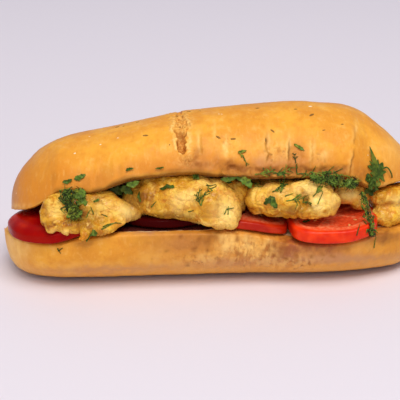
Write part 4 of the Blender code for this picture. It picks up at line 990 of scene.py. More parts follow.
def top_bread(settings):
    """The upper half of the roll, with its tear, creases and torn lip."""
    x = station_places(settings.rings, TOP_HALF_LENGTH, TOP_SHIFT, TOP_DENSE)
    angles = angle_places(TOP_ANGLES)
    points, rise, fade, cosine = top_form(x, angles)
    upper = np.sin(angles)[None, :] >= 0.0
    soft_front = smooth(cosine / 0.12) * upper
    wide_x = points[..., 0]

    opened, rim, patch = tear(wide_x, rise, soft_front)
    crease_relief, crease, crease_highlight = creases(wide_x, rise)
    own, edge = flakes(wide_x, rise + 0.3 * wide_x, 1.5, 11)
    small = rough(points, 1.6, 21)
    brown, deep_and_shaded_places = painted(points, TOP_BROWN, 201), painted(points, TOP_DEEP_AND_SHADE, 211)
    pale_and_lit_places = painted(points, TOP_PALE_AND_HIGHLIGHT, 221)
    # The torn band along the lip, the folds at the left and where the crust peels.
    lip = smooth(cosine / 0.2)
    start, end, high = TORN_BAND
    band_ends = smooth((wide_x - start) / 3.0) * smooth((end - wide_x) / 4.0)
    band_high = high + 1.6 * uneven(points * (1, 0, 0.4), 3.4, 31) + 0.6 * uneven(points, 1.3, 33)
    band = smooth((band_high - rise) / 2.4) * band_ends * lip
    start, end, high = FOLDS
    folds = smooth((high - rise) / 7.0) * smooth((wide_x - start) / 8.0) * smooth((end - wide_x) / 8.0)
    peel = sum(
        share * bump(wide_x, across, half_width) * bump(rise, up, half_height)
        for across, half_width, up, half_height, share in PEELING
    )
    lines = uneven(points * (1.0, 0.2, 0.25), 1.5, 65) + 0.5 * uneven(points * (1.0, 0.3, 0.35), 0.7, 67)
    fold_waves = 0.38 * uneven(points * (1.0, 0.15, 0.25), 5.0, 61)
    fold_waves = fold_waves + 0.2 * uneven(points * (1.0, 0.2, 0.3), 2.2, 63)

    relief = 0.25 * rough(points, 9.0, 41) + 0.06 * small
    relief += soft_front * (
        crease_relief - TEAR_DEPTH * opened * (1.0 + 0.25 * small) + rim * (0.55 + 0.6 * small)
        + patch * (0.5 * own * smooth(edge / 0.4) + 0.6 * small) + folds * fold_waves
        + peel * (0.3 * own * smooth(edge / 0.5) - 0.1 + 0.12 * lines)
        + 0.05 * lines * smooth((20.0 - rise) / 8.0) + 0.5 * np.clip(brown, 0.0, 1.0) * small
    )
    relief = np.where(upper, fade * relief, 0.25 * rough(points, 3.0, 71))
    relief = relief - band * (0.7 + 0.45 * rough(points, 2.6, 51) + 0.3 * small)
    points = points + grid_normals(points) * relief[..., None]
    verts, faces = ring_mesh(points)
    finish = bread_finish("top crust and crumb", settings)
    piece = new_piece("crust_top", verts, faces, finish, ("bun_top",))

    peel_seen = np.clip(peel, 0.0, 1.0) * soft_front
    turned_in = smooth((-rise - 2.5 + 0.3 * uneven(points, 2.5, 81)) / 0.4)
    turned_in = turned_in * (1.0 - 0.8 * smooth(cosine / 0.4))
    # Painted shade: the underside of the lip's edge is darkened with the toast colour.
    under = smooth((0.9 + 0.8 * uneven(points, 4.0, 97) - rise) / 2.8) * lip * along(wide_x, LIP_SHADE)
    # Painted shade on the tear's walls and bottom, in the creases, the torn band, the hollows of the folds
    # and at the crown's edge on the left.
    left_wall_shade = opened * smooth((0.9 - (wide_x - along(rise, TEAR_LEFT))) / 0.9)
    right_wall_shade = opened * smooth((0.5 - (along(rise, TEAR_RIGHT) - wide_x)) / 0.6)
    toast = soft_front * (0.8 * crease + opened * (0.1 + 0.25 * small)) + 0.9 * left_wall_shade + 0.6 * right_wall_shade
    toast = toast + 0.5 * opened * (smooth((9.4 - rise) / 1.6) + 0.5 * bump(rise, 18.0, 2.0))
    toast = toast + band * (0.1 + 0.3 * uneven(points, 2.6, 99))
    toast = toast + 0.16 * folds * soft_front * smooth(-2.0 * uneven(points * (1.0, 0.2, 0.3), 2.2, 63))
    specks = scatter_marks(wide_x, rise, 2.6, 101) * np.clip(patch + 0.8 * peel, 0.0, 1.0) * soft_front
    crown_edge_shade = 0.3 * bump(cosine, 0.0, 0.2) * smooth((-40.0 - wide_x) / 40.0)
    # Darker crust with painted shade towards the lip, beside the creases and round the crown; darker at the
    # left end.
    low = 0.8 * smooth((13.0 + 2.0 * uneven(points, 9.0, 95) - rise) / 11.0)
    deep = soft_front * (low + deep_and_shaded_places + opened)
    deep = deep + upper * (0.5 * smooth((0.42 - cosine) / 0.5) + 0.5 * bump(wide_x, -101.0, 9.0))
    baked = smooth((0.2 - cosine) / 0.5) * (1.0 - 0.8 * smooth((-0.4 - cosine) / 0.5))
    baked = baked * (1.0 + 0.8 * uneven(points, 15.0, 303))
    # The torn band is browned, partly as painted shade in its recess.
    brown = brown * (0.9 + 0.5 * small) + band * (0.35 + 0.3 * uneven(points, 2.0, 93)) + 0.12 * opened
    # Pale crust with painted highlights beside the creases and on the pale lines.
    pale = soft_front * (
        1.1 * rim + 0.5 * opened * smooth(1.5 * lines) + 0.45 * patch * smooth(own)
        + 0.3 * peel * smooth(own + 0.5 * lines) + 0.45 * crease_highlight
        + pale_and_lit_places * (0.8 + 0.8 * lines) + 0.3 * bump(wide_x, 92.0, 10.0) * bump(rise, 14.0, 12.0)
    )
    # Dull pinkish places, with painted haze at the left end and along the crown's edge.
    dusky = painted(points, TOP_DUSKY_AND_REFLECTED, 291) * smooth(cosine / 0.3) + upper * 0.3 * bump(cosine, 0.02, 0.24)
    add_ring_masks(piece, rise.shape, {
        "toast": np.maximum(under, toast + 0.7 * specks + 0.3 * crown_edge_shade * upper),
        "pale": pale,
        "stain": 0.0,
        "deep": deep,
        "torn": soft_front * np.clip(0.2 * opened + 0.55 * patch, 0.0, 1.0) + 0.2 * band,
        "brown": soft_front * brown + 0.26 * baked * upper,
        "juice": 0.0,
        "scaly": 0.3 * peel_seen,
        "pitted": 0.9 * band + 0.4 * peel_seen,
        "dusky": dusky,
        "crumb": np.where(upper, 0.0, turned_in),
    })


def angle_places(parts):
    """Angles round a ring from its (start, end, count) parts."""
    return np.concatenate([np.linspace(start, end, count, endpoint=False) for start, end, count in parts])


def scatter_marks(u, v, size, seed):
    """Small round marks, 1 at their middles."""
    own, edge = flakes(u, v, size, seed)
    return smooth((edge / size - 0.55) / 0.2) * (own > 0.2)


def station_places(count, half_length, shift, dense_spots):
    """x of the rings, closer at the round ends and at the dense spots."""
    fine = np.linspace(-1.0, 1.0, 4001)
    density = 1.0 + 5.0 * np.abs(fine) ** 14
    for centre, half_width, boost in dense_spots:
        density += boost * np.exp(-(((fine * half_length + shift - centre) / half_width) ** 2))
    reach = np.cumsum(density)
    reach = (reach - reach[0]) / (reach[-1] - reach[0])
    return np.interp(np.linspace(0.0, 1.0, count + 1), reach, fine) * half_length + shift


def lip_height(x, across):
    front = 0.5 + 0.5 * across
    return along(x, FRONT_LIP_HEIGHT) * front + along(x, BACK_LIP_HEIGHT) * (1.0 - front)


def base_form(x, angles):
    """Rings of the lower half without its small relief: points, the rise above the lip, and where
    each point lies across, from -1 at the back to 1 at the front."""
    share = end_share(x - ROLL_SHIFT, ROLL_HALF_LENGTH, PLAN_POWER)[:, None]
    half_depth = ROLL_HALF_DEPTH * share
    sine, cosine = np.sin(angles)[None, :], np.cos(angles)[None, :]
    upper = sine >= 0.0
    turn = np.where(upper, 2.0 / CUT_POWER, 2.0 / CRUST_POWER)
    across = signed_power(cosine, turn) + 0.0 * share
    wide_x = x[:, None] + 0.0 * across
    edge = lip_height(wide_x, across) - BASE_LIP
    closed = edge * BASE_DEPTH_SHARE * end_share(x - ROLL_SHIFT, ROLL_HALF_LENGTH, BASE_END_POWER)[:, None]
    depth = np.where(upper, BASE_LIP * np.minimum(1.0, share * 1.6), closed)
    rise = depth * signed_power(sine, turn)
    fade = np.where(across > 0.0, np.minimum(1.0, half_depth / FULL_RELIEF_DEPTH), 0.3)
    broad = solid_noise(wide_x, -rise, BASE_SWELL)
    forward = half_depth * across * np.where(upper, 1.0, 1.0 + fade * broad / ROLL_HALF_DEPTH)
    foot = np.maximum(0.0, along(wide_x, UNDERSIDE))
    return np.stack((wide_x, -forward, np.maximum(foot, edge + rise)), -1), rise, across


def bottom_bread(settings):
    """The lower half of the roll, with its flaky patch, pits and pale cut edge."""
    x = station_places(settings.rings - FEWER_BASE_RINGS, ROLL_HALF_LENGTH, ROLL_SHIFT, BASE_DENSE)
    angles = angle_places(BASE_ANGLES)
    points, rise, across = base_form(x, angles)
    upper = (np.sin(angles) >= 0.0)[None, :] & np.ones(rise.shape, bool)
    facing = smooth(across / 0.25)
    front = np.where(upper, 0.0, facing)
    wide_x, height = points[..., 0], points[..., 2]
    small = rough(points, 1.6, 23)
    brown_and_shadow_places, pale_and_lit_places = painted(points, BASE_BROWN_AND_SHADOW, 231), painted(points, BASE_PALE_AND_REFLECTED, 241)
    stain = painted(points, BASE_STAIN_AND_SHADOW, 251)
    pitted = np.clip(painted(points, BASE_PITTED, 261), 0.0, 1.0)
    scaly = np.clip(painted(points, BASE_SCALY, 271), 0.0, 1.0)
    streaks = uneven(points * (1.0, 0.3, 0.35), 1.7, 37) + 0.6 * uneven(points * (1.0, 0.4, 0.45), 0.8, 38)
    own, edge = flakes(wide_x + 0.25 * height, 0.6 * height, 2.2, 13)
    relief = 0.22 * rough(points, 8.0, 43) + 0.06 * small + 0.05 * streaks * front
    relief += facing * (
        scaly * (0.4 * own * smooth(edge / 0.6) + 0.3 * streaks - 0.25 + 0.25 * small) + 0.15 * pitted * small
    )
    relief = np.where(upper, 0.3 * rough(points, 3.0, 73) * (1.0 - facing) + relief * facing, relief)
    relief = relief * np.minimum(1.0, end_share(wide_x - ROLL_SHIFT, ROLL_HALF_LENGTH, 3.0) * 3.0)
    points = points + grid_normals(points) * relief[..., None]
    points[..., 2] = np.maximum(points[..., 2], np.maximum(0.0, along(wide_x, UNDERSIDE)))
    verts, faces = ring_mesh(points)
    finish = bread_finish("bottom crust and crumb", settings)
    piece = new_piece("crust_bottom", verts, faces, finish, ("bun_bottom",))

    inset = ROLL_HALF_DEPTH * end_share(wide_x - ROLL_SHIFT, ROLL_HALF_LENGTH, PLAN_POWER) * (1.0 - across)
    start = along(wide_x, CUT_INSET) + 1.0 * uneven(points, 3.0, 83)
    cut = smooth((rise - 2.7) / 0.4) * smooth((inset - start) / 1.0)
    pale = smooth((across + 0.6) / 1.1) * pale_and_lit_places * (0.85 + 0.35 * streaks)
    # Brown spots and painted shadows under the shrimps.
    brown = facing * (brown_and_shadow_places * (0.95 + 0.4 * small) + 0.2 * smooth((5.0 - height) / 4.0))
    # Darker crust: painted shade below the lip at the left and middle, darker at the right and on the back.
    deep = 0.6 * bump(wide_x, -14.0, 26.0) * smooth((height - 14.0) / 12.0) + 0.45 * bump(wide_x, 55.0, 45.0)
    # Painted shadow: the crumb under the shrimps and the tomato is darkened to a black red, with some juice.
    shadow_inset = along(wide_x, JUICE_AND_SHADOW_INSET)
    juice = np.where(upper, smooth((inset - shadow_inset + 0.3 * uneven(points, 1.6, 85)) / 0.5), 0.0)
    juice = juice * smooth((wide_x + 60.0) / 8.0) * smooth((18.0 - wide_x) / 6.0)
    # Dull pinkish places, with a painted reflection of the pale floor on the lowest crust.
    dusky = painted(points, BASE_DUSKY_AND_REFLECTED, 281) * facing + 0.5 * smooth((5.0 - height) / 5.0)
    add_ring_masks(piece, rise.shape, {
        "deep": deep * facing + 0.4 * (1.0 - smooth((across + 0.3) / 0.3)),
        "juice": juice * smooth((across + 0.2) / 0.3),
        "brown": brown,
        "toast": 0.35 * brown,
        # Painted reflection of the pale floor low on the front crust.
        "pale": pale + 0.3 * bump(height, 7.0, 4.0) * front,
        "stain": stain * facing * (0.85 + 0.5 * small),
        "torn": 0.0,
        "scaly": 0.6 * scaly * facing,
        "pitted": 0.7 * pitted * facing,
        "dusky": dusky + 0.25 * (1.0 - smooth((across + 0.2) / 0.4)),
        "crumb": np.where(upper, cut, 0.0),
    })


# The tomato.


def cut_height(x, y):
    """Height of the lower half's cut face."""
    share = end_share(x - ROLL_SHIFT, ROLL_HALF_LENGTH, PLAN_POWER)
    across = np.clip(-y / np.maximum(ROLL_HALF_DEPTH * share, 0.001), -1.0, 1.0)
    rounding = BASE_LIP * np.minimum(1.0, share * 1.6)
    inner = (1.0 - np.abs(across) ** CUT_POWER) ** (1.0 / CUT_POWER)
    return lip_height(x, across) - BASE_LIP + rounding * inner


def slice_floor(x, y):
    """Height of a slice's underside, which goes straight on past the edge of the crumb."""
    share = end_share(x - ROLL_SHIFT, ROLL_HALF_LENGTH, PLAN_POWER)
    inside_y = np.sign(y) * np.minimum(np.abs(y), 0.8 * ROLL_HALF_DEPTH * share)
    return np.maximum(cut_height(x, inside_y), cut_height(x, y)) + 0.5


def slice_profile():
    """From the middle of a slice's top to the middle of its underside: reach outwards and level."""
    polar = np.concatenate((
        np.linspace(0.0, SLICE_TOP, 40), np.linspace(*SLICE_SIDE, 34), np.linspace(SLICE_UNDER, math.pi, 12),
    ))
    reach = np.abs(np.sin(polar)) ** 0.25
    reach[0], reach[-1] = 0.0, 0.0
    top = polar < SLICE_TOP
    reach[top] = np.linspace(0.0, abs(math.sin(SLICE_TOP)) ** 0.25, top.sum())
    level = signed_power(np.cos(polar), 0.4)
    level[top] = np.minimum(1.0, signed_power(np.cos(np.arcsin(np.clip(reach[top] ** 4.0, 0, 1))), 0.4))
    return reach[:, None], level[:, None]


def tomato_slice(name, finish, seeds, rng):
    """A round slice that lies on the crumb."""
    x0, y0, half_length, half_depth, thickness, dome, square, shade_share = TOMATOES[name]
    turn = np.arange(TURNS_A_SLICE)[None, :] * math.tau / TURNS_A_SLICE
    out, side = (part + 0.0 * turn for part in slice_profile())
    wobble = 1.0 + 0.02 * np.sin(3.0 * turn + x0) + 0.012 * np.sin(7.0 * turn)
    x = x0 + half_length * wobble * out * signed_power(np.cos(turn), 2.0 / square)
    y = y0 + half_depth * wobble * out * signed_power(np.sin(turn), 2.0 / square)
    height = 0.5 * thickness * (1.0 + side) + dome * np.maximum(0.0, side) * (1.0 - out**4)
    spokes = 6 if half_length > 20 else 5
    wall = np.abs(np.sin(0.5 * spokes * turn + x0 + 0.5 * np.sin(2.0 * turn)))
    room = smooth((out - 0.22) / 0.12) * smooth((0.83 - out) / 0.1) * smooth((wall - 0.25) / 0.25)
    top = smooth((side - 0.82) / 0.14)
    sliced = 0.0 if name == END_SLICE else 1.0
    gel = sliced * room * top
    points = np.stack((x, y, slice_floor(x, y) + height), -1)
    points[..., 2] += -0.55 * gel + 0.08 * rough(points, 4.0, 15) + 0.12 * gel * rough(points, 1.4, 19)
    verts, faces = ring_mesh(points)
    piece = new_piece(name + "_slice", verts, faces, finish, (name,))
    rim = sliced * top * bump(out, 0.95, 0.05)
    # Painted shade: each slice is darkened by its share; the middle slice's rim is left lighter as a painted
    # highlight.
    shade = shade_share - 0.35 * rim * (name == "tomato_middle")
    if not sliced:
        # Lighter painted highlight arcs on the end slice's skin.
        highlight_arcs = bump(out + 0.02 * np.sin(5.0 * turn), 0.6, 0.05) + bump(out, 0.86, 0.05)
        shade = shade - (0.2 * highlight_arcs + 0.12) * smooth(0.6 + uneven(points, 9.0, 17))
    add_ring_masks(piece, room.shape, {
        "flesh": sliced * np.maximum(top, smooth((-side - 0.75) / 0.2)), "rim": 0.75 * rim,
        "gel": 0.9 * gel, "shade": shade,
    })
    for spoke in range(spokes * 4 if sliced else 0):
        angle = (rng.uniform(0.0, 1.0) + spoke) / (spokes * 4) * math.tau
        share = rng.uniform(0.35, 0.78)
        lean, tip = rng.uniform(-0.4, 0.4), rng.uniform(-0.3, 0.3)
        if abs(math.sin(0.5 * spokes * angle + x0 + 0.5 * math.sin(2.0 * angle))) < 0.45 or spoke % 3:
            continue
        seed_x = x0 + half_length * share * float(signed_power(np.cos(angle), 2.0 / square))
        seed_y = y0 + half_depth * share * float(signed_power(np.sin(angle), 2.0 / square))
        seed_z = float(slice_floor(np.array(seed_x), np.array(seed_y))) + thickness - 0.45
        laid_down = Matrix.Rotation(angle + lean, 3, "Z") @ Matrix.Rotation(tip, 3, "X")
        seeds.blob((seed_x, seed_y, seed_z), TOMATO_SEED, laid_down, spoke)


# The shrimps.


def swept_balls(bm, chain):
    """Balls close together along a chain, a little larger and smaller in turn."""
    travelled = 0.0
    for (x0, y0, z0, r0), (x1, y1, z1, r1) in zip(chain, chain[1:]):
        length = math.dist((x0, y0, z0), (x1, y1, z1))
        steps = max(1, round(length / BALL_STEP))
        for step in range(steps + 1):
            share = step / steps
            ripple = 1.0 + 0.025 * math.cos((travelled + share * length) * math.tau / RIPPLE_LENGTH)
            radius = (r0 + (r1 - r0) * share) * ripple
            middle = (x0 + (x1 - x0) * share, y0 + (y1 - y0) * share, z0 + (z1 - z0) * share)
            bmesh.ops.create_icosphere(bm, subdivisions=3, radius=radius, matrix=Matrix.Translation(middle))
        travelled += length


def one_skin(name, chains, voxel):
    """Points, faces and normals of the balls melted together."""
    bm = bmesh.new()
    for chain in chains:
        swept_balls(bm, chain)
    mesh = bpy.data.meshes.new(name)
    bm.to_mesh(mesh)
    bm.free()
    obj = bpy.data.objects.new(name, mesh)
    bpy.context.scene.collection.objects.link(obj)
    skin = obj.modifiers.new("one skin", "REMESH")
    skin.mode = "VOXEL"
    skin.voxel_size = voxel
    soft = obj.modifiers.new("soft skin", "SMOOTH")
    soft.factor = 0.5
    soft.iterations = SMOOTHINGS
    made = obj.evaluated_get(bpy.context.evaluated_depsgraph_get()).to_mesh()
    points, normals = np.zeros((2, len(made.vertices) * 3))
    made.vertices.foreach_get("co", points)
    made.vertices.foreach_get("normal", normals)
    faces = [list(face.vertices) for face in made.polygons]
    bpy.data.objects.remove(obj)
    bpy.data.meshes.remove(mesh)
    return points.reshape(-1, 3), faces, normals.reshape(-1, 3)


def shrimp(name, finish, settings):
    """A whole shrimp in puffed, creased batter."""
    points, faces, normals = one_skin(name, SHRIMPS[name], settings.voxel)
    lump = np.array([
        0.9 * noise.noise((x / 9.0 + 5.0, y / 9.0, z / 9.0))
        + 0.5 * noise.noise((x / 4.5 + 2.0, y / 4.5, z / 4.5))
        for x, y, z in points
    ])
    warped = points + 1.4 * np.stack([uneven(points, 4.4, 61 + axis) for axis in range(3)], -1)
    large, small = np.abs(uneven(warped, 6.4, 25)), np.abs(uneven(warped, 3.0, 27))
    fine = rough(points, 1.3, 29)
    facing = smooth((SHRIMP_FRONT_Y - points[:, 1]) / 10.0)
    # Pale meat and batter; some of the pale places are painted light.
    calm = painted(points, PALE_AND_LIT_SPOTS, 301, 0.7) * facing
    rugged = smooth(0.45 + 1.2 * uneven(points, 8.0, 35)) * (1.0 - 0.7 * np.clip(calm, 0.0, 1.0))
    puffed = 0.6 * np.minimum(1.0, 2.4 * large) - 0.45 + rugged * 0.45 * (np.minimum(1.0, 2.6 * small) - 0.7)
    relief = lump + puffed + (0.05 + 0.12 * rugged) * fine
    points = points + normals * relief[:, None]
    piece = new_piece(name + "_battered", points, faces, finish, (name,))
    # Painted shade in the hollows between the puffs.
    crease = 0.7 * smooth(1.0 - large / 0.06) + 0.5 * smooth(1.0 - small / 0.08) * rugged
    # Browned batter with painted shade along the lower edges.
    add_mask(piece, "fried", painted(points, FRIED_AND_SHADED_SPOTS, 311) * facing * (1.0 + 0.25 * fine))
    # Painted shade where the upper half and other pieces shade the batter.
    add_mask(piece, "dim", painted(points, SHADE_SPOTS, 321) * facing * (0.95 + 0.15 * fine))
    add_mask(piece, "pale", calm * (0.95 + 0.2 * fine))
    add_mask(piece, "crease", crease * (0.25 + 0.35 * rugged))


# Herbs and seeds.


def trees_of(pieces):
    graph = bpy.context.evaluated_depsgraph_get()
    return [BVHTree.FromObject(piece, graph) for piece in pieces]


def cast(trees, start, towards, reach=2000.0):
    """The first surface from the start, as a point and its normal, all in millimetres."""
    origin, best = Vector(placed(start)), None
    for tree in trees:
        point, normal, _, distance = tree.ray_cast(origin, towards, reach * MM)
        if point is not None and (best is None or distance < best[2]):
            best = (point, normal, distance)
    if best is None:
        return None
    return np.array(designed(best[0])), np.array(best[1])


def strewn(trees, x, z):
    """Where a thing lies that is seen from the front at x and z: the point and its normal."""
    towards = (Vector((x, PLANE_Y, z)) - EYE).normalized()
    found = cast(trees, EYE, towards)
    if found is None:
        raise RuntimeError(f"nothing to land on at {x}, {z}")
    return found


def lying(point, normal, heading):
    """Axes at the point: along the heading as seen from the front, across, and out."""
    out = normal / np.linalg.norm(normal)
    ahead = np.array((math.cos(heading), 0.0, math.sin(heading)))
    ahead = ahead - out * ahead.dot(out)
    ahead /= np.linalg.norm(ahead)
    return point, ahead, np.cross(out, ahead), out


def strewn_axes(trees, x, z, heading):
    """Axes of a thing that lies there, with its heading in degrees."""
    return lying(*strewn(trees, x, z), math.radians(heading))


def laid(trees, axes, flat, lift):
    """Lays points (along, across, height) on the surface below them."""
    point, ahead, aside, out = axes
    result = []
    for u, v, w in flat:
        over = point + ahead * u + aside * v
        found = cast(trees, over + out * 3.0, Vector(-out), 6.0)
        if found is None:
            result.append(over + out * (lift + w - 0.03 * (u * u + v * v)))
        else:
            result.append(found[0] + out * (lift + w))
    return np.array(result)


def bent(length, curl, count):
    """A curved line of the length, starting at nought: along and across."""
    share = np.linspace(0.0, 1.0, count)
    return np.stack((length * share, curl * length * share**2), -1)


def turned(line, angle, start=(0.0, 0.0)):
    """The line turned by the angle and moved to the start."""
    cosine, sine = math.cos(angle), math.sin(angle)
    return line @ np.array(((cosine, sine), (-sine, cosine))) + np.asarray(start)


def frond_lines(rng, length):
    """Lines of a dill frond: its stalk, then forked needles on both sides."""
    stalk = bent(length, rng.uniform(-0.25, 0.25), 7)
    lines = [(stalk, 0.62)]
    count = max(2, round(length / 1.9))
    for number in range(1, count + 1):
        share = number / count
        start = stalk[min(6, round(share * 6))]
        for side in (-1, 1):
            if rng.random() < 0.15:
                continue
            size = min((0.6 - 0.25 * share) * length * rng.uniform(0.6, 1.05), 4.2)
            heading = side * rng.uniform(0.45, 1.0)
            needle = turned(bent(size, -side * rng.uniform(0.0, 0.3), 4), heading, start)
            lines.append((needle, 0.52))
            if rng.random() < 0.6:
                branch = turned(bent(size * 0.5, 0.0, 3), heading + rng.choice((-0.6, 0.6)), needle[2])
                lines.append((branch, 0.44))
    return lines


def frond(bundle, trees, axes, length, rng):
    """A dill frond laid on the surface."""
    bundle.tone = rng.uniform(0.0, 0.75)
    for line, width in frond_lines(rng, length):
        height = np.full(len(line), rng.uniform(0.0, 0.5))
        path = laid(trees, axes, np.column_stack((line, height)), 0.25)
        bundle.tube(path, np.linspace(width, width * 0.5, len(path)), axes[3], 0.8)


def free(axes, flat):
    """Points (along, across, height) from the axes, on nothing."""
    point, ahead, aside, out = axes
    return point + np.outer(flat[:, 0], ahead) + np.outer(flat[:, 1], aside) + np.outer(flat[:, 2], out)


def thread(bundle, trees, axes, length, rng):
    """One needle laid on the surface, here and there a little above it."""
    bundle.tone = rng.uniform(0.1, 0.8)
    line = bent(length, rng.uniform(-0.2, 0.2), 8) - (0.5 * length, 0.0)
    height = 0.3 * np.abs(np.sin(np.linspace(0.0, 5.0, 8)))
    path = laid(trees, axes, np.column_stack((line, height)), 0.2)
    bundle.tube(path, np.linspace(THREAD_WIDTH, THREAD_WIDTH * 0.5, 8), axes[3], 0.9)


def leaf_edge(turn, lobes, length, width, phase):
    """Reach of a chopped bit of leaf: lobed and jagged."""
    body = 0.5 / np.sqrt((np.cos(turn) / length) ** 2 + (np.sin(turn) / width) ** 2)
    return body * (0.95 + 0.17 * np.cos(lobes * turn + phase) + 0.1 * np.cos(11 * turn + 2.0 * phase))


def small_leaf(bundle, trees, axes, length, width, rng, stand=0.0):
    """A chopped bit of parsley leaf, a little folded; with a stand above nought it lies on nothing."""
    turn = np.arange(BIT_POINTS) * math.tau / BIT_POINTS
    edge = leaf_edge(turn, rng.choice((3, 5)), length, width, rng.uniform(0.0, math.tau))
    phase, fold = rng.uniform(0.0, math.tau), rng.uniform(0.2, 1.1)
    rings = []
    for share in (0.0, 0.35, 0.7, 1.0):
        u, v = share * edge * np.cos(turn), share * edge * np.sin(turn)
        wave = 0.35 * np.sin(1.5 * u + phase) + fold * np.abs(v) / width + 0.25 * share
        flat = np.column_stack((u, v, wave + stand))
        rings.append(free(axes, flat) if stand else laid(trees, axes, flat, 0.4))
    rings[0][:] = rings[0].mean(0)
    normals = np.broadcast_to(axes[3], (len(rings), BIT_POINTS, 3))
    bundle.sheet(np.array(rings), normals, BIT_THICKNESS)


def bunch_middle(places, trees):
    """The balls of a bunch's middle, each lying on what is under it unless it hangs free."""
    balls = []
    for place in places:
        if len(place) == 3:
            x, z, radius = place
            point, normal = strewn(trees, x, z)
            balls.append((*(point + normal * (0.6 * radius)), radius))
        else:
            balls.append(place)
    return balls


def sprig(bundle, axes, length, rng, tone):
    """A few needles that part from one point."""
    count = rng.choice((3, 4, 4, 5))
    for number in range(count):
        bundle.tone = min(1.0, max(0.0, tone + rng.choice((-0.9, -0.5, 0.0, 0.4, 0.8))))
        heading = (number / (count - 1) - 0.5) * rng.uniform(0.9, 2.0)
        line = turned(bent(length * rng.uniform(0.5, 1.0), rng.uniform(-0.16, 0.16), 5), heading)
        height = rng.uniform(-0.1, 0.35) * line[:, 0] + rng.uniform(-0.1, 0.5)
        widths = np.linspace(rng.uniform(0.42, 0.72), 0.26, 5)
        bundle.tube(free(axes, np.column_stack((line, height))), widths, axes[3], 0.5)


def smooth_route(route, count):
    """This many points on a smooth curve through the points of the route."""
    fine = np.linspace(0, len(route) - 1, count)
    return np.stack([along(fine, list(enumerate(route[:, axis]))) for axis in range(3)], -1)


def stalk(bundle, balls, rng):
    """A thin stalk that runs loosely through the balls."""
    bundle.tone = rng.uniform(0.2, 0.7)
    drift = np.array([[rng.uniform(-1.0, 1.0) * radius for _ in range(3)] for *_, radius in balls])
    route = np.array([ball[:3] for ball in balls]) + drift * (1.0, 0.4, 1.0) - (0.0, 1.0, 0.0)
    bundle.tube(smooth_route(route, 16), np.linspace(0.5, 0.34, 16), sides=6)


def dill_bunch(name, finish, trees, rng):
    """Needles and bits of leaf, one over another, round a small middle painted dark as shade."""
    places, tones_and_shades, sprigs, longest, stalks = BUNCHES[name]
    balls = bunch_middle(places, trees)
    bundle = Bundle()
    for _ in range(stalks):
        stalk(bundle, balls, rng)
    for number, ((x, y, z, radius), tone) in enumerate(zip(balls, tones_and_shades)):
        # The middle is painted dark, as shade in the thick of the bunch.
        bundle.tone = 1.0
        bundle.blob((x, y, z), (radius * 0.55,) * 3, Matrix.Identity(3), number, 3)
        beside = balls[min(number + 1, len(balls) - 1)]
        for place in range(sprigs):
            share = rng.uniform(0.0, 0.8)
            middle = np.array((x, y, z)) * (1.0 - share) + np.array(beside[:3]) * share
            around, spread = math.tau * rng.random(), radius * math.sqrt(rng.random())
            across, up = spread * math.cos(around), spread * math.sin(around)
            depth = math.sqrt(max(0.0, radius**2 - spread**2)) * rng.uniform(0.3, 1.0)
            lean = 0.6 * across / radius + rng.uniform(-0.4, 0.4), 0.6 * up / radius + rng.uniform(-0.3, 0.5)
            out = np.array((lean[0], -1.0, lean[1]))
            axes = lying(middle + (across, -depth, up), out, math.tau * rng.random())
            length = longest * rng.uniform(0.5, 1.05)
            start = axes[0] - axes[1] * 0.45 * length
            sprig(bundle, (start, *axes[1:]), length, rng, tone)
            if place % 8 == 1 and tone < 0.6:
                bundle.tone = max(0.0, tone - rng.uniform(0.0, 0.5))
                size = longest * rng.uniform(0.4, 0.75)
                small_leaf(bundle, trees, axes, size, 0.5 * size, rng, 0.4)
    bundle.piece(name + "_fronds", finish, "herb", (name,))


def parsley_outline(turn):
    """Reach of the large leaf's edge: pointed lobes, the longest one at the tip."""
    reach = 0.36 + 0.0 * turn
    for heading, length, half_width in LOBES:
        apart = np.abs((turn - math.radians(heading) + math.pi) % math.tau - math.pi)
        reach = np.maximum(reach, length * np.exp(-apart / math.radians(half_width)))
    return reach * (1.0 + 0.06 * np.cos(19.0 * turn + 1.0))


def big_leaf(finish, trees):
    """The large parsley leaf on the crust, with its curved stalk."""
    turn = np.arange(LEAF_POINTS) * math.tau / LEAF_POINTS
    rings, normals = [], []
    for share in (0.0, 0.15, 0.3, 0.45, 0.6, 0.75, 0.9, 1.0):
        reach = LEAF_SIZE * share * parsley_outline(turn)
        ring, ring_normals = [], []
        rise = LEAF_HEIGHT_SHARE * reach * np.sin(turn)
        aside = LEAF_WIDTH_SHARE * reach * np.cos(turn) + LEAF_LEAN * np.maximum(rise, 0.0)
        for across, up in zip(aside, rise):
            point, normal = strewn(trees, LEAF_PLACE[0] + across, LEAF_PLACE[1] + up)
            wave = 0.5 + 0.5 * math.sin(0.7 * across + 0.5 * up)
            rib = -0.35 * math.exp(-((across / 0.6) ** 2))
            ring.append(point + normal * (LEAF_LIFT + 0.8 * wave + rib))
            ring_normals.append(normal)
        rings.append(ring)
        normals.append(ring_normals)
    bundle = Bundle()
    bundle.sheet(np.array(rings), np.array(normals), LEAF_THICKNESS)
    route = []
    for x, z in STEM_ROUTE:
        point, normal = strewn(trees, x, z)
        route.append(point + normal * (LEAF_LIFT + 0.3))
    bundle.tube(smooth_route(np.array(route), 14), np.linspace(0.9, 0.6, 14), sides=8)
    bundle.piece("parsley_leaf_green", finish, "herb", ("parsley_leaf",))


# What the user can change, and the buttons.


def colour_setting(name, description, colour):
    return FloatVectorProperty(
        name=name, description=description, default=colour, min=0.0, max=1.0, subtype="COLOR", size=3)


def power_setting(name, description, watts):
    return FloatProperty(
        name=name, description=description, default=watts, min=0.0, max=200.0, subtype="POWER", unit="POWER")


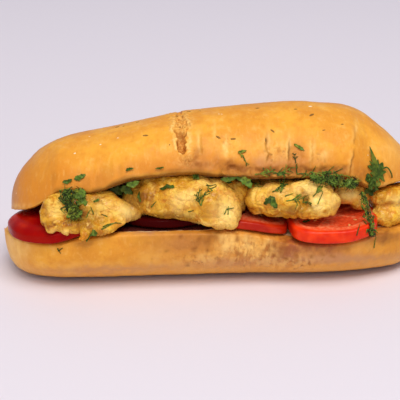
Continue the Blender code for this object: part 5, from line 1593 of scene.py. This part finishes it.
class BreadSettings(bpy.types.PropertyGroup):
    """Sizes and colours of the roll"""

    rings: IntProperty(
        name="Rings", description="Rings along the upper half", default=420, min=120, max=900)
    shine: FloatProperty(
        name="Roughness", description="Roughness of the crust",
        default=0.42, min=0.15, max=1.0, subtype="FACTOR")
    gold: colour_setting("Gold", "Baked crust", (0.84, 0.385, 0.038))
    # Also used as painted shade near the lip, beside the creases and at the crown's edge.
    deep: colour_setting("Deep gold", "Darker patches of the crust", (0.68, 0.245, 0.022))
    # Also used for painted highlights beside the creases and a painted reflection of the floor low down.
    pale: colour_setting("Pale crust", "Edges and stretched crust", (0.92, 0.53, 0.14))
    # Also used as painted shade under the lip, in creases, on the tear's walls and in the torn band.
    toast: colour_setting("Toast", "Browned crust", (0.21, 0.075, 0.008))
    # Also used as the painted shadow under the right tomato slice.
    stain: colour_setting("Juice stain", "Where tomato juice ran", (0.30, 0.066, 0.013))
    # Mostly painted shadow on the crumb under the shrimps and tomato, with some juice.
    juice: colour_setting("Soaked crumb", "Crumb dark with tomato juice", (0.07, 0.006, 0.002))
    # Also painted reflection of the floor low down and painted haze at the crown's edge.
    dusky: colour_setting("Dusky crust", "Dull pinkish crust low down and at the ends", (0.50, 0.235, 0.115))
    browned: colour_setting("Browned spots", "Small soft brown spots", (0.36, 0.12, 0.018))
    torn: colour_setting("Torn bread", "Torn browned bread", (0.56, 0.215, 0.04))
    crumb: colour_setting("Crumb", "Cut crumb", (0.90, 0.72, 0.44))
    crumb_shade: colour_setting("Crumb shade", "Darker crumb", (0.80, 0.52, 0.24))


class TomatoSettings(bpy.types.PropertyGroup):
    """Colours of the tomato"""

    skin: colour_setting("Skin", "Lit skin", (0.88, 0.048, 0.004))
    skin_deep: colour_setting("Deep skin", "Darker skin", (0.66, 0.018, 0.002))
    flesh: colour_setting("Flesh", "Cut flesh", (0.86, 0.085, 0.022))
    flesh_pale: colour_setting("Pale flesh", "Flesh just under the skin", (0.90, 0.23, 0.095))
    gel: colour_setting("Jelly", "Jelly round the seeds", (0.70, 0.05, 0.012))
    # Painted shade colour of the end slice, which lies under the upper half's lip.
    shaded_red: colour_setting("Dark red", "Dark glossy slice", (0.27, 0.001, 0.0016))
    # Painted shade colour of the slices in deep shade.
    shade: colour_setting("Deep red", "Dark soft parts", (0.04, 0.001, 0.001))


class ShrimpSettings(bpy.types.PropertyGroup):
    """Sizes and colours of the battered shrimps"""

    voxel: FloatProperty(
        name="Fineness", description="Size of the faces, in millimetres", default=0.42, min=0.3, max=2.0)
    shine: FloatProperty(
        name="Roughness", description="Roughness of the oily batter",
        default=0.24, min=0.1, max=1.0, subtype="FACTOR")
    batter: colour_setting("Batter", "Fried batter", (0.80, 0.43, 0.035))
    batter_deep: colour_setting("Deep batter", "Darker batter", (0.62, 0.27, 0.014))
    batter_pale: colour_setting("Pale batter", "Thin batter", (0.92, 0.59, 0.10))
    # Also painted shade in the batter's creases and along the shrimps' lower edges.
    fried: colour_setting("Browned batter", "Browned places and hollows", (0.36, 0.115, 0.010))
    amber: colour_setting("Amber batter", "Oily orange patches", (0.66, 0.225, 0.010))
    # Painted shade on the batter where the upper half and other shrimps shade it.
    dim: colour_setting("Dull batter", "Dull thin batter in the shade", (0.19, 0.085, 0.010))
    meat: colour_setting("Shrimp meat", "Pale meat that shows", (0.98, 0.68, 0.20))


class HerbSettings(bpy.types.PropertyGroup):
    """Colours of the herbs and seeds"""

    dill: colour_setting("Dill", "Lit dill", (0.18, 0.285, 0.030))
    # Painted shade colour in the thick of the bunches.
    dill_dark: colour_setting("Dark dill", "Dill in the thick of it", (0.016, 0.024, 0.004))
    parsley: colour_setting("Parsley", "Lit parsley", (0.135, 0.22, 0.022))
    parsley_dark: colour_setting("Dark parsley", "Darker parsley", (0.022, 0.038, 0.003))
    yellowed: colour_setting("Yellowed", "Yellowed bits", (0.36, 0.34, 0.03))
    caraway: colour_setting("Caraway", "Brown seeds on the crust", (0.36, 0.17, 0.03))
    caraway_dark: colour_setting("Dark caraway", "Darker side of the seeds", (0.19, 0.085, 0.015))


class StageSettings(bpy.types.PropertyGroup):
    """Light, floor and camera"""

    floor: colour_setting("Floor", "Colour of the floor", (0.75, 0.705, 0.76))
    key: power_setting("Key light", "Strength of the large soft light above", 30.0)
    fill: power_setting("Fill light", "Strength of the light beside the camera", 9.0)
    glint: power_setting("Small light", "Strength of the small light that makes wet places shine", 3.0)
    sky: FloatProperty(
        name="Sky", description="Strength of the light from all round", default=0.4, min=0.0, max=5.0)
    distance: FloatProperty(
        name="Camera distance", description="From the camera to what it looks at",
        default=0.575, min=0.1, max=5.0, subtype="DISTANCE", unit="LENGTH")
    azimuth: FloatProperty(
        name="Camera azimuth", description="Turn of the camera round the sandwich",
        default=math.radians(-4.0), subtype="ANGLE", unit="ROTATION")
    elevation: FloatProperty(
        name="Camera elevation", description="Height of the camera above level",
        default=math.radians(20.0), subtype="ANGLE", unit="ROTATION")


class SANDWICH_OT_bread(bpy.types.Operator):
    """Makes both halves of the roll"""

    bl_idname = "sandwich.bread"
    bl_label = "Bread"

    def execute(self, context):
        settings = context.scene.sandwich_bread
        top_bread(settings)
        bottom_bread(settings)
        return {"FINISHED"}


class SANDWICH_OT_tomato(bpy.types.Operator):
    """Makes the tomato slices and their seeds"""

    bl_idname = "sandwich.tomato"
    bl_label = "Tomato"

    def execute(self, context):
        settings = context.scene.sandwich_tomato
        bright = tomato_finish("tomato", settings, settings.shade, GLOSS)
        # The end slice and the inner slice get finishes with painted shade colours.
        finishes = {
            "tomato_left": tomato_finish("dark tomato", settings, settings.shaded_red, DARK_GLOSS),
            "tomato_inner": tomato_finish("shaded tomato", settings, settings.shade, SHADED_GLOSS),
        }
        seeds, rng = Bundle(), random.Random(3)
        for name in TOMATOES:
            tomato_slice(name, finishes.get(name, bright), seeds, rng)
        seeds.piece("tomato_seeds", seed_finish("tomato seed", *TOMATO_SEED_COLOURS), "tomato")
        return {"FINISHED"}


class SANDWICH_OT_shrimps(bpy.types.Operator):
    """Makes the battered shrimps"""

    bl_idname = "sandwich.shrimps"
    bl_label = "Shrimps"

    def execute(self, context):
        settings = context.scene.sandwich_shrimps
        finish = batter_finish("fried batter", settings)
        for name in SHRIMPS:
            shrimp(name, finish, settings)
        return {"FINISHED"}


def surfaces():
    """What the herbs can lie on."""
    names = ["crust_top", "crust_bottom"]
    names += [name + "_slice" for name in TOMATOES] + [name + "_battered" for name in SHRIMPS]
    return trees_of([bpy.data.objects[name] for name in names])


class SANDWICH_OT_dill(bpy.types.Operator):
    """Strews the dill: bunches, single fronds and threads"""

    bl_idname = "sandwich.dill"
    bl_label = "Dill"

    def execute(self, context):
        settings = context.scene.sandwich_herbs
        finish = herb_finish("dill", settings.dill, settings.dill_dark, settings)
        trees, rng = surfaces(), random.Random(11)
        for name in BUNCHES:
            dill_bunch(name, finish, trees, rng)
        loose = Bundle()
        for x, z, heading, length in FRONDS:
            point, ahead, *across = strewn_axes(trees, x, z, heading)
            frond(loose, trees, (point - ahead * (0.5 * length), ahead, *across), length, rng)
        for x, z, heading, length in THREADS:
            thread(loose, trees, strewn_axes(trees, x, z, heading), length, rng)
        loose.piece("dill_sprigs", finish, "herb")
        return {"FINISHED"}


class SANDWICH_OT_parsley(bpy.types.Operator):
    """Strews the parsley: the large leaf and chopped bits"""

    bl_idname = "sandwich.parsley"
    bl_label = "Parsley"

    def execute(self, context):
        settings = context.scene.sandwich_herbs
        finish = herb_finish("parsley", settings.parsley, settings.parsley_dark, settings)
        trees, rng = surfaces(), random.Random(5)
        big_leaf(finish, trees)
        chopped = Bundle()
        for x, z, heading, length, width, tone in LEAVES:
            chopped.tone = tone
            small_leaf(chopped, trees, strewn_axes(trees, x, z, heading), length, width, rng)
        for x, y, z, heading, length, width, tone in TUCKED:
            axes = lying(np.array((x, y, z)), np.array(TUCKED_FACING), math.radians(heading))
            chopped.tone = tone
            small_leaf(chopped, trees, axes, length, width, rng, TUCKED_STAND)
        chopped.piece("parsley_chopped", finish, "herb")
        return {"FINISHED"}


class SANDWICH_OT_seeds(bpy.types.Operator):
    """Strews brown seeds and pale flecks on the crust"""

    bl_idname = "sandwich.seeds"
    bl_label = "Seeds on the crust"

    def execute(self, context):
        settings = context.scene.sandwich_herbs
        trees = trees_of([bpy.data.objects["crust_top"]])
        brown, white = Bundle(), Bundle()
        for number, (x, z, heading, size) in enumerate(SEEDS):
            point, *turn = strewn_axes(trees, x, z, heading)
            radii = (size * SEED_LENGTH / 2, size * SEED_WIDTH / 2, size * SEED_HEIGHT / 2)
            brown.blob(point - SEED_SUNK * turn[2], radii, np.column_stack(turn), number)
        for number, (x, z, size) in enumerate(FLECKS):
            point, *turn = lying(*strewn(trees, x, z), FLECK_HEADING)
            white.blob(point, (size * 1.3, size, size * 0.35), np.column_stack(turn), number)
        brown.piece("crust_seeds", seed_finish("caraway", settings.caraway, settings.caraway_dark), "crust")
        white.piece("crust_flecks", seed_finish("pale fleck", *FLECK_COLOURS), "crust")
        return {"FINISHED"}


class SANDWICH_OT_stage(bpy.types.Operator):
    """Sets the floor, the light and the camera"""

    bl_idname = "sandwich.stage"
    bl_label = "Stage"

    def execute(self, context):
        settings = context.scene.sandwich_stage
        look = Look("floor")
        # Painted light: the floor gets lighter towards the back, where less light reaches it.
        far = look.add("ShaderNodeSeparateXYZ", {"Vector": look.place}).outputs["Y"]
        shade = look.blotch(settings.floor, [1.3 * part for part in settings.floor], far, -0.3, 1.3)
        mesh = bpy.data.meshes.new("floor")
        corners = [(x * FLOOR_REACH, y * FLOOR_REACH, 0) for x, y in ((-1, -1), (1, -1), (1, 1), (-1, 1))]
        mesh.from_pydata(corners, [], [(0, 1, 2, 3)])
        mesh.materials.append(look.finish(shade, 0.7, FLOOR_GLOSS))
        floor = bpy.data.objects.new("floor", mesh)
        context.scene.collection.objects.link(floor)

        world = bpy.data.worlds.new("soft studio")
        world.use_nodes = True
        sky = world.node_tree.nodes["Background"].inputs
        sky["Color"].default_value = (*SKY_COLOUR, 1.0)
        sky["Strength"].default_value = settings.sky
        context.scene.world = world
        for name, place, size, colour in LIGHTS:
            area_light(name, place, size, getattr(settings, name), colour)
        context.scene.view_settings.view_transform = "Standard"

        flat = math.cos(settings.elevation)
        turn = settings.azimuth
        back = Vector((math.sin(turn) * flat, -math.cos(turn) * flat, math.sin(settings.elevation)))
        camera = bpy.data.objects.new("camera", bpy.data.cameras.new("camera"))
        camera.data.lens = CAMERA_LENS
        camera.data.sensor_width = SENSOR_WIDTH
        camera.location = CAMERA_AIM + back * settings.distance
        camera.rotation_mode = "QUATERNION"
        camera.rotation_quaternion = (-back).to_track_quat("-Z", "Y")
        context.scene.collection.objects.link(camera)
        context.scene.camera = camera
        return {"FINISHED"}


def area_light(name, place, size, power, colour):
    light = bpy.data.lights.new(name, "AREA")
    light.size = size
    light.energy = power
    light.color = colour
    obj = bpy.data.objects.new(name, light)
    obj.location = place
    obj.rotation_mode = "QUATERNION"
    obj.rotation_quaternion = (LIGHT_AIM - Vector(place)).to_track_quat("-Z", "Y")
    bpy.context.scene.collection.objects.link(obj)


class SANDWICH_PT_panel(bpy.types.Panel):
    """Buttons for the parts of the sandwich"""

    bl_label = "Shrimp kofta sandwich"
    bl_idname = "SANDWICH_PT_panel"
    bl_space_type = "VIEW_3D"
    bl_region_type = "UI"
    bl_category = "Sandwich"

    def draw(self, context):
        for operator in OPERATORS:
            self.layout.operator(operator.bl_idname)


SETTINGS = (
    ("sandwich_bread", BreadSettings), ("sandwich_tomato", TomatoSettings),
    ("sandwich_shrimps", ShrimpSettings), ("sandwich_herbs", HerbSettings),
    ("sandwich_stage", StageSettings),
)
OPERATORS = (
    SANDWICH_OT_stage, SANDWICH_OT_bread, SANDWICH_OT_tomato, SANDWICH_OT_shrimps, SANDWICH_OT_dill,
    SANDWICH_OT_parsley, SANDWICH_OT_seeds,
)


def register():
    for name, group in SETTINGS:
        bpy.utils.register_class(group)
        setattr(bpy.types.Scene, name, PointerProperty(type=group))
    for operator in OPERATORS:
        bpy.utils.register_class(operator)
    bpy.utils.register_class(SANDWICH_PT_panel)


def unregister():
    bpy.utils.unregister_class(SANDWICH_PT_panel)
    for operator in reversed(OPERATORS):
        bpy.utils.unregister_class(operator)
    for name, group in reversed(SETTINGS):
        delattr(bpy.types.Scene, name)
        bpy.utils.unregister_class(group)


def main():
    register()
    bpy.ops.sandwich.stage()
    bpy.ops.sandwich.bread()
    bpy.ops.sandwich.tomato()
    bpy.ops.sandwich.shrimps()
    bpy.ops.sandwich.dill()
    bpy.ops.sandwich.parsley()
    bpy.ops.sandwich.seeds()


if __name__ == "__main__":
    main()
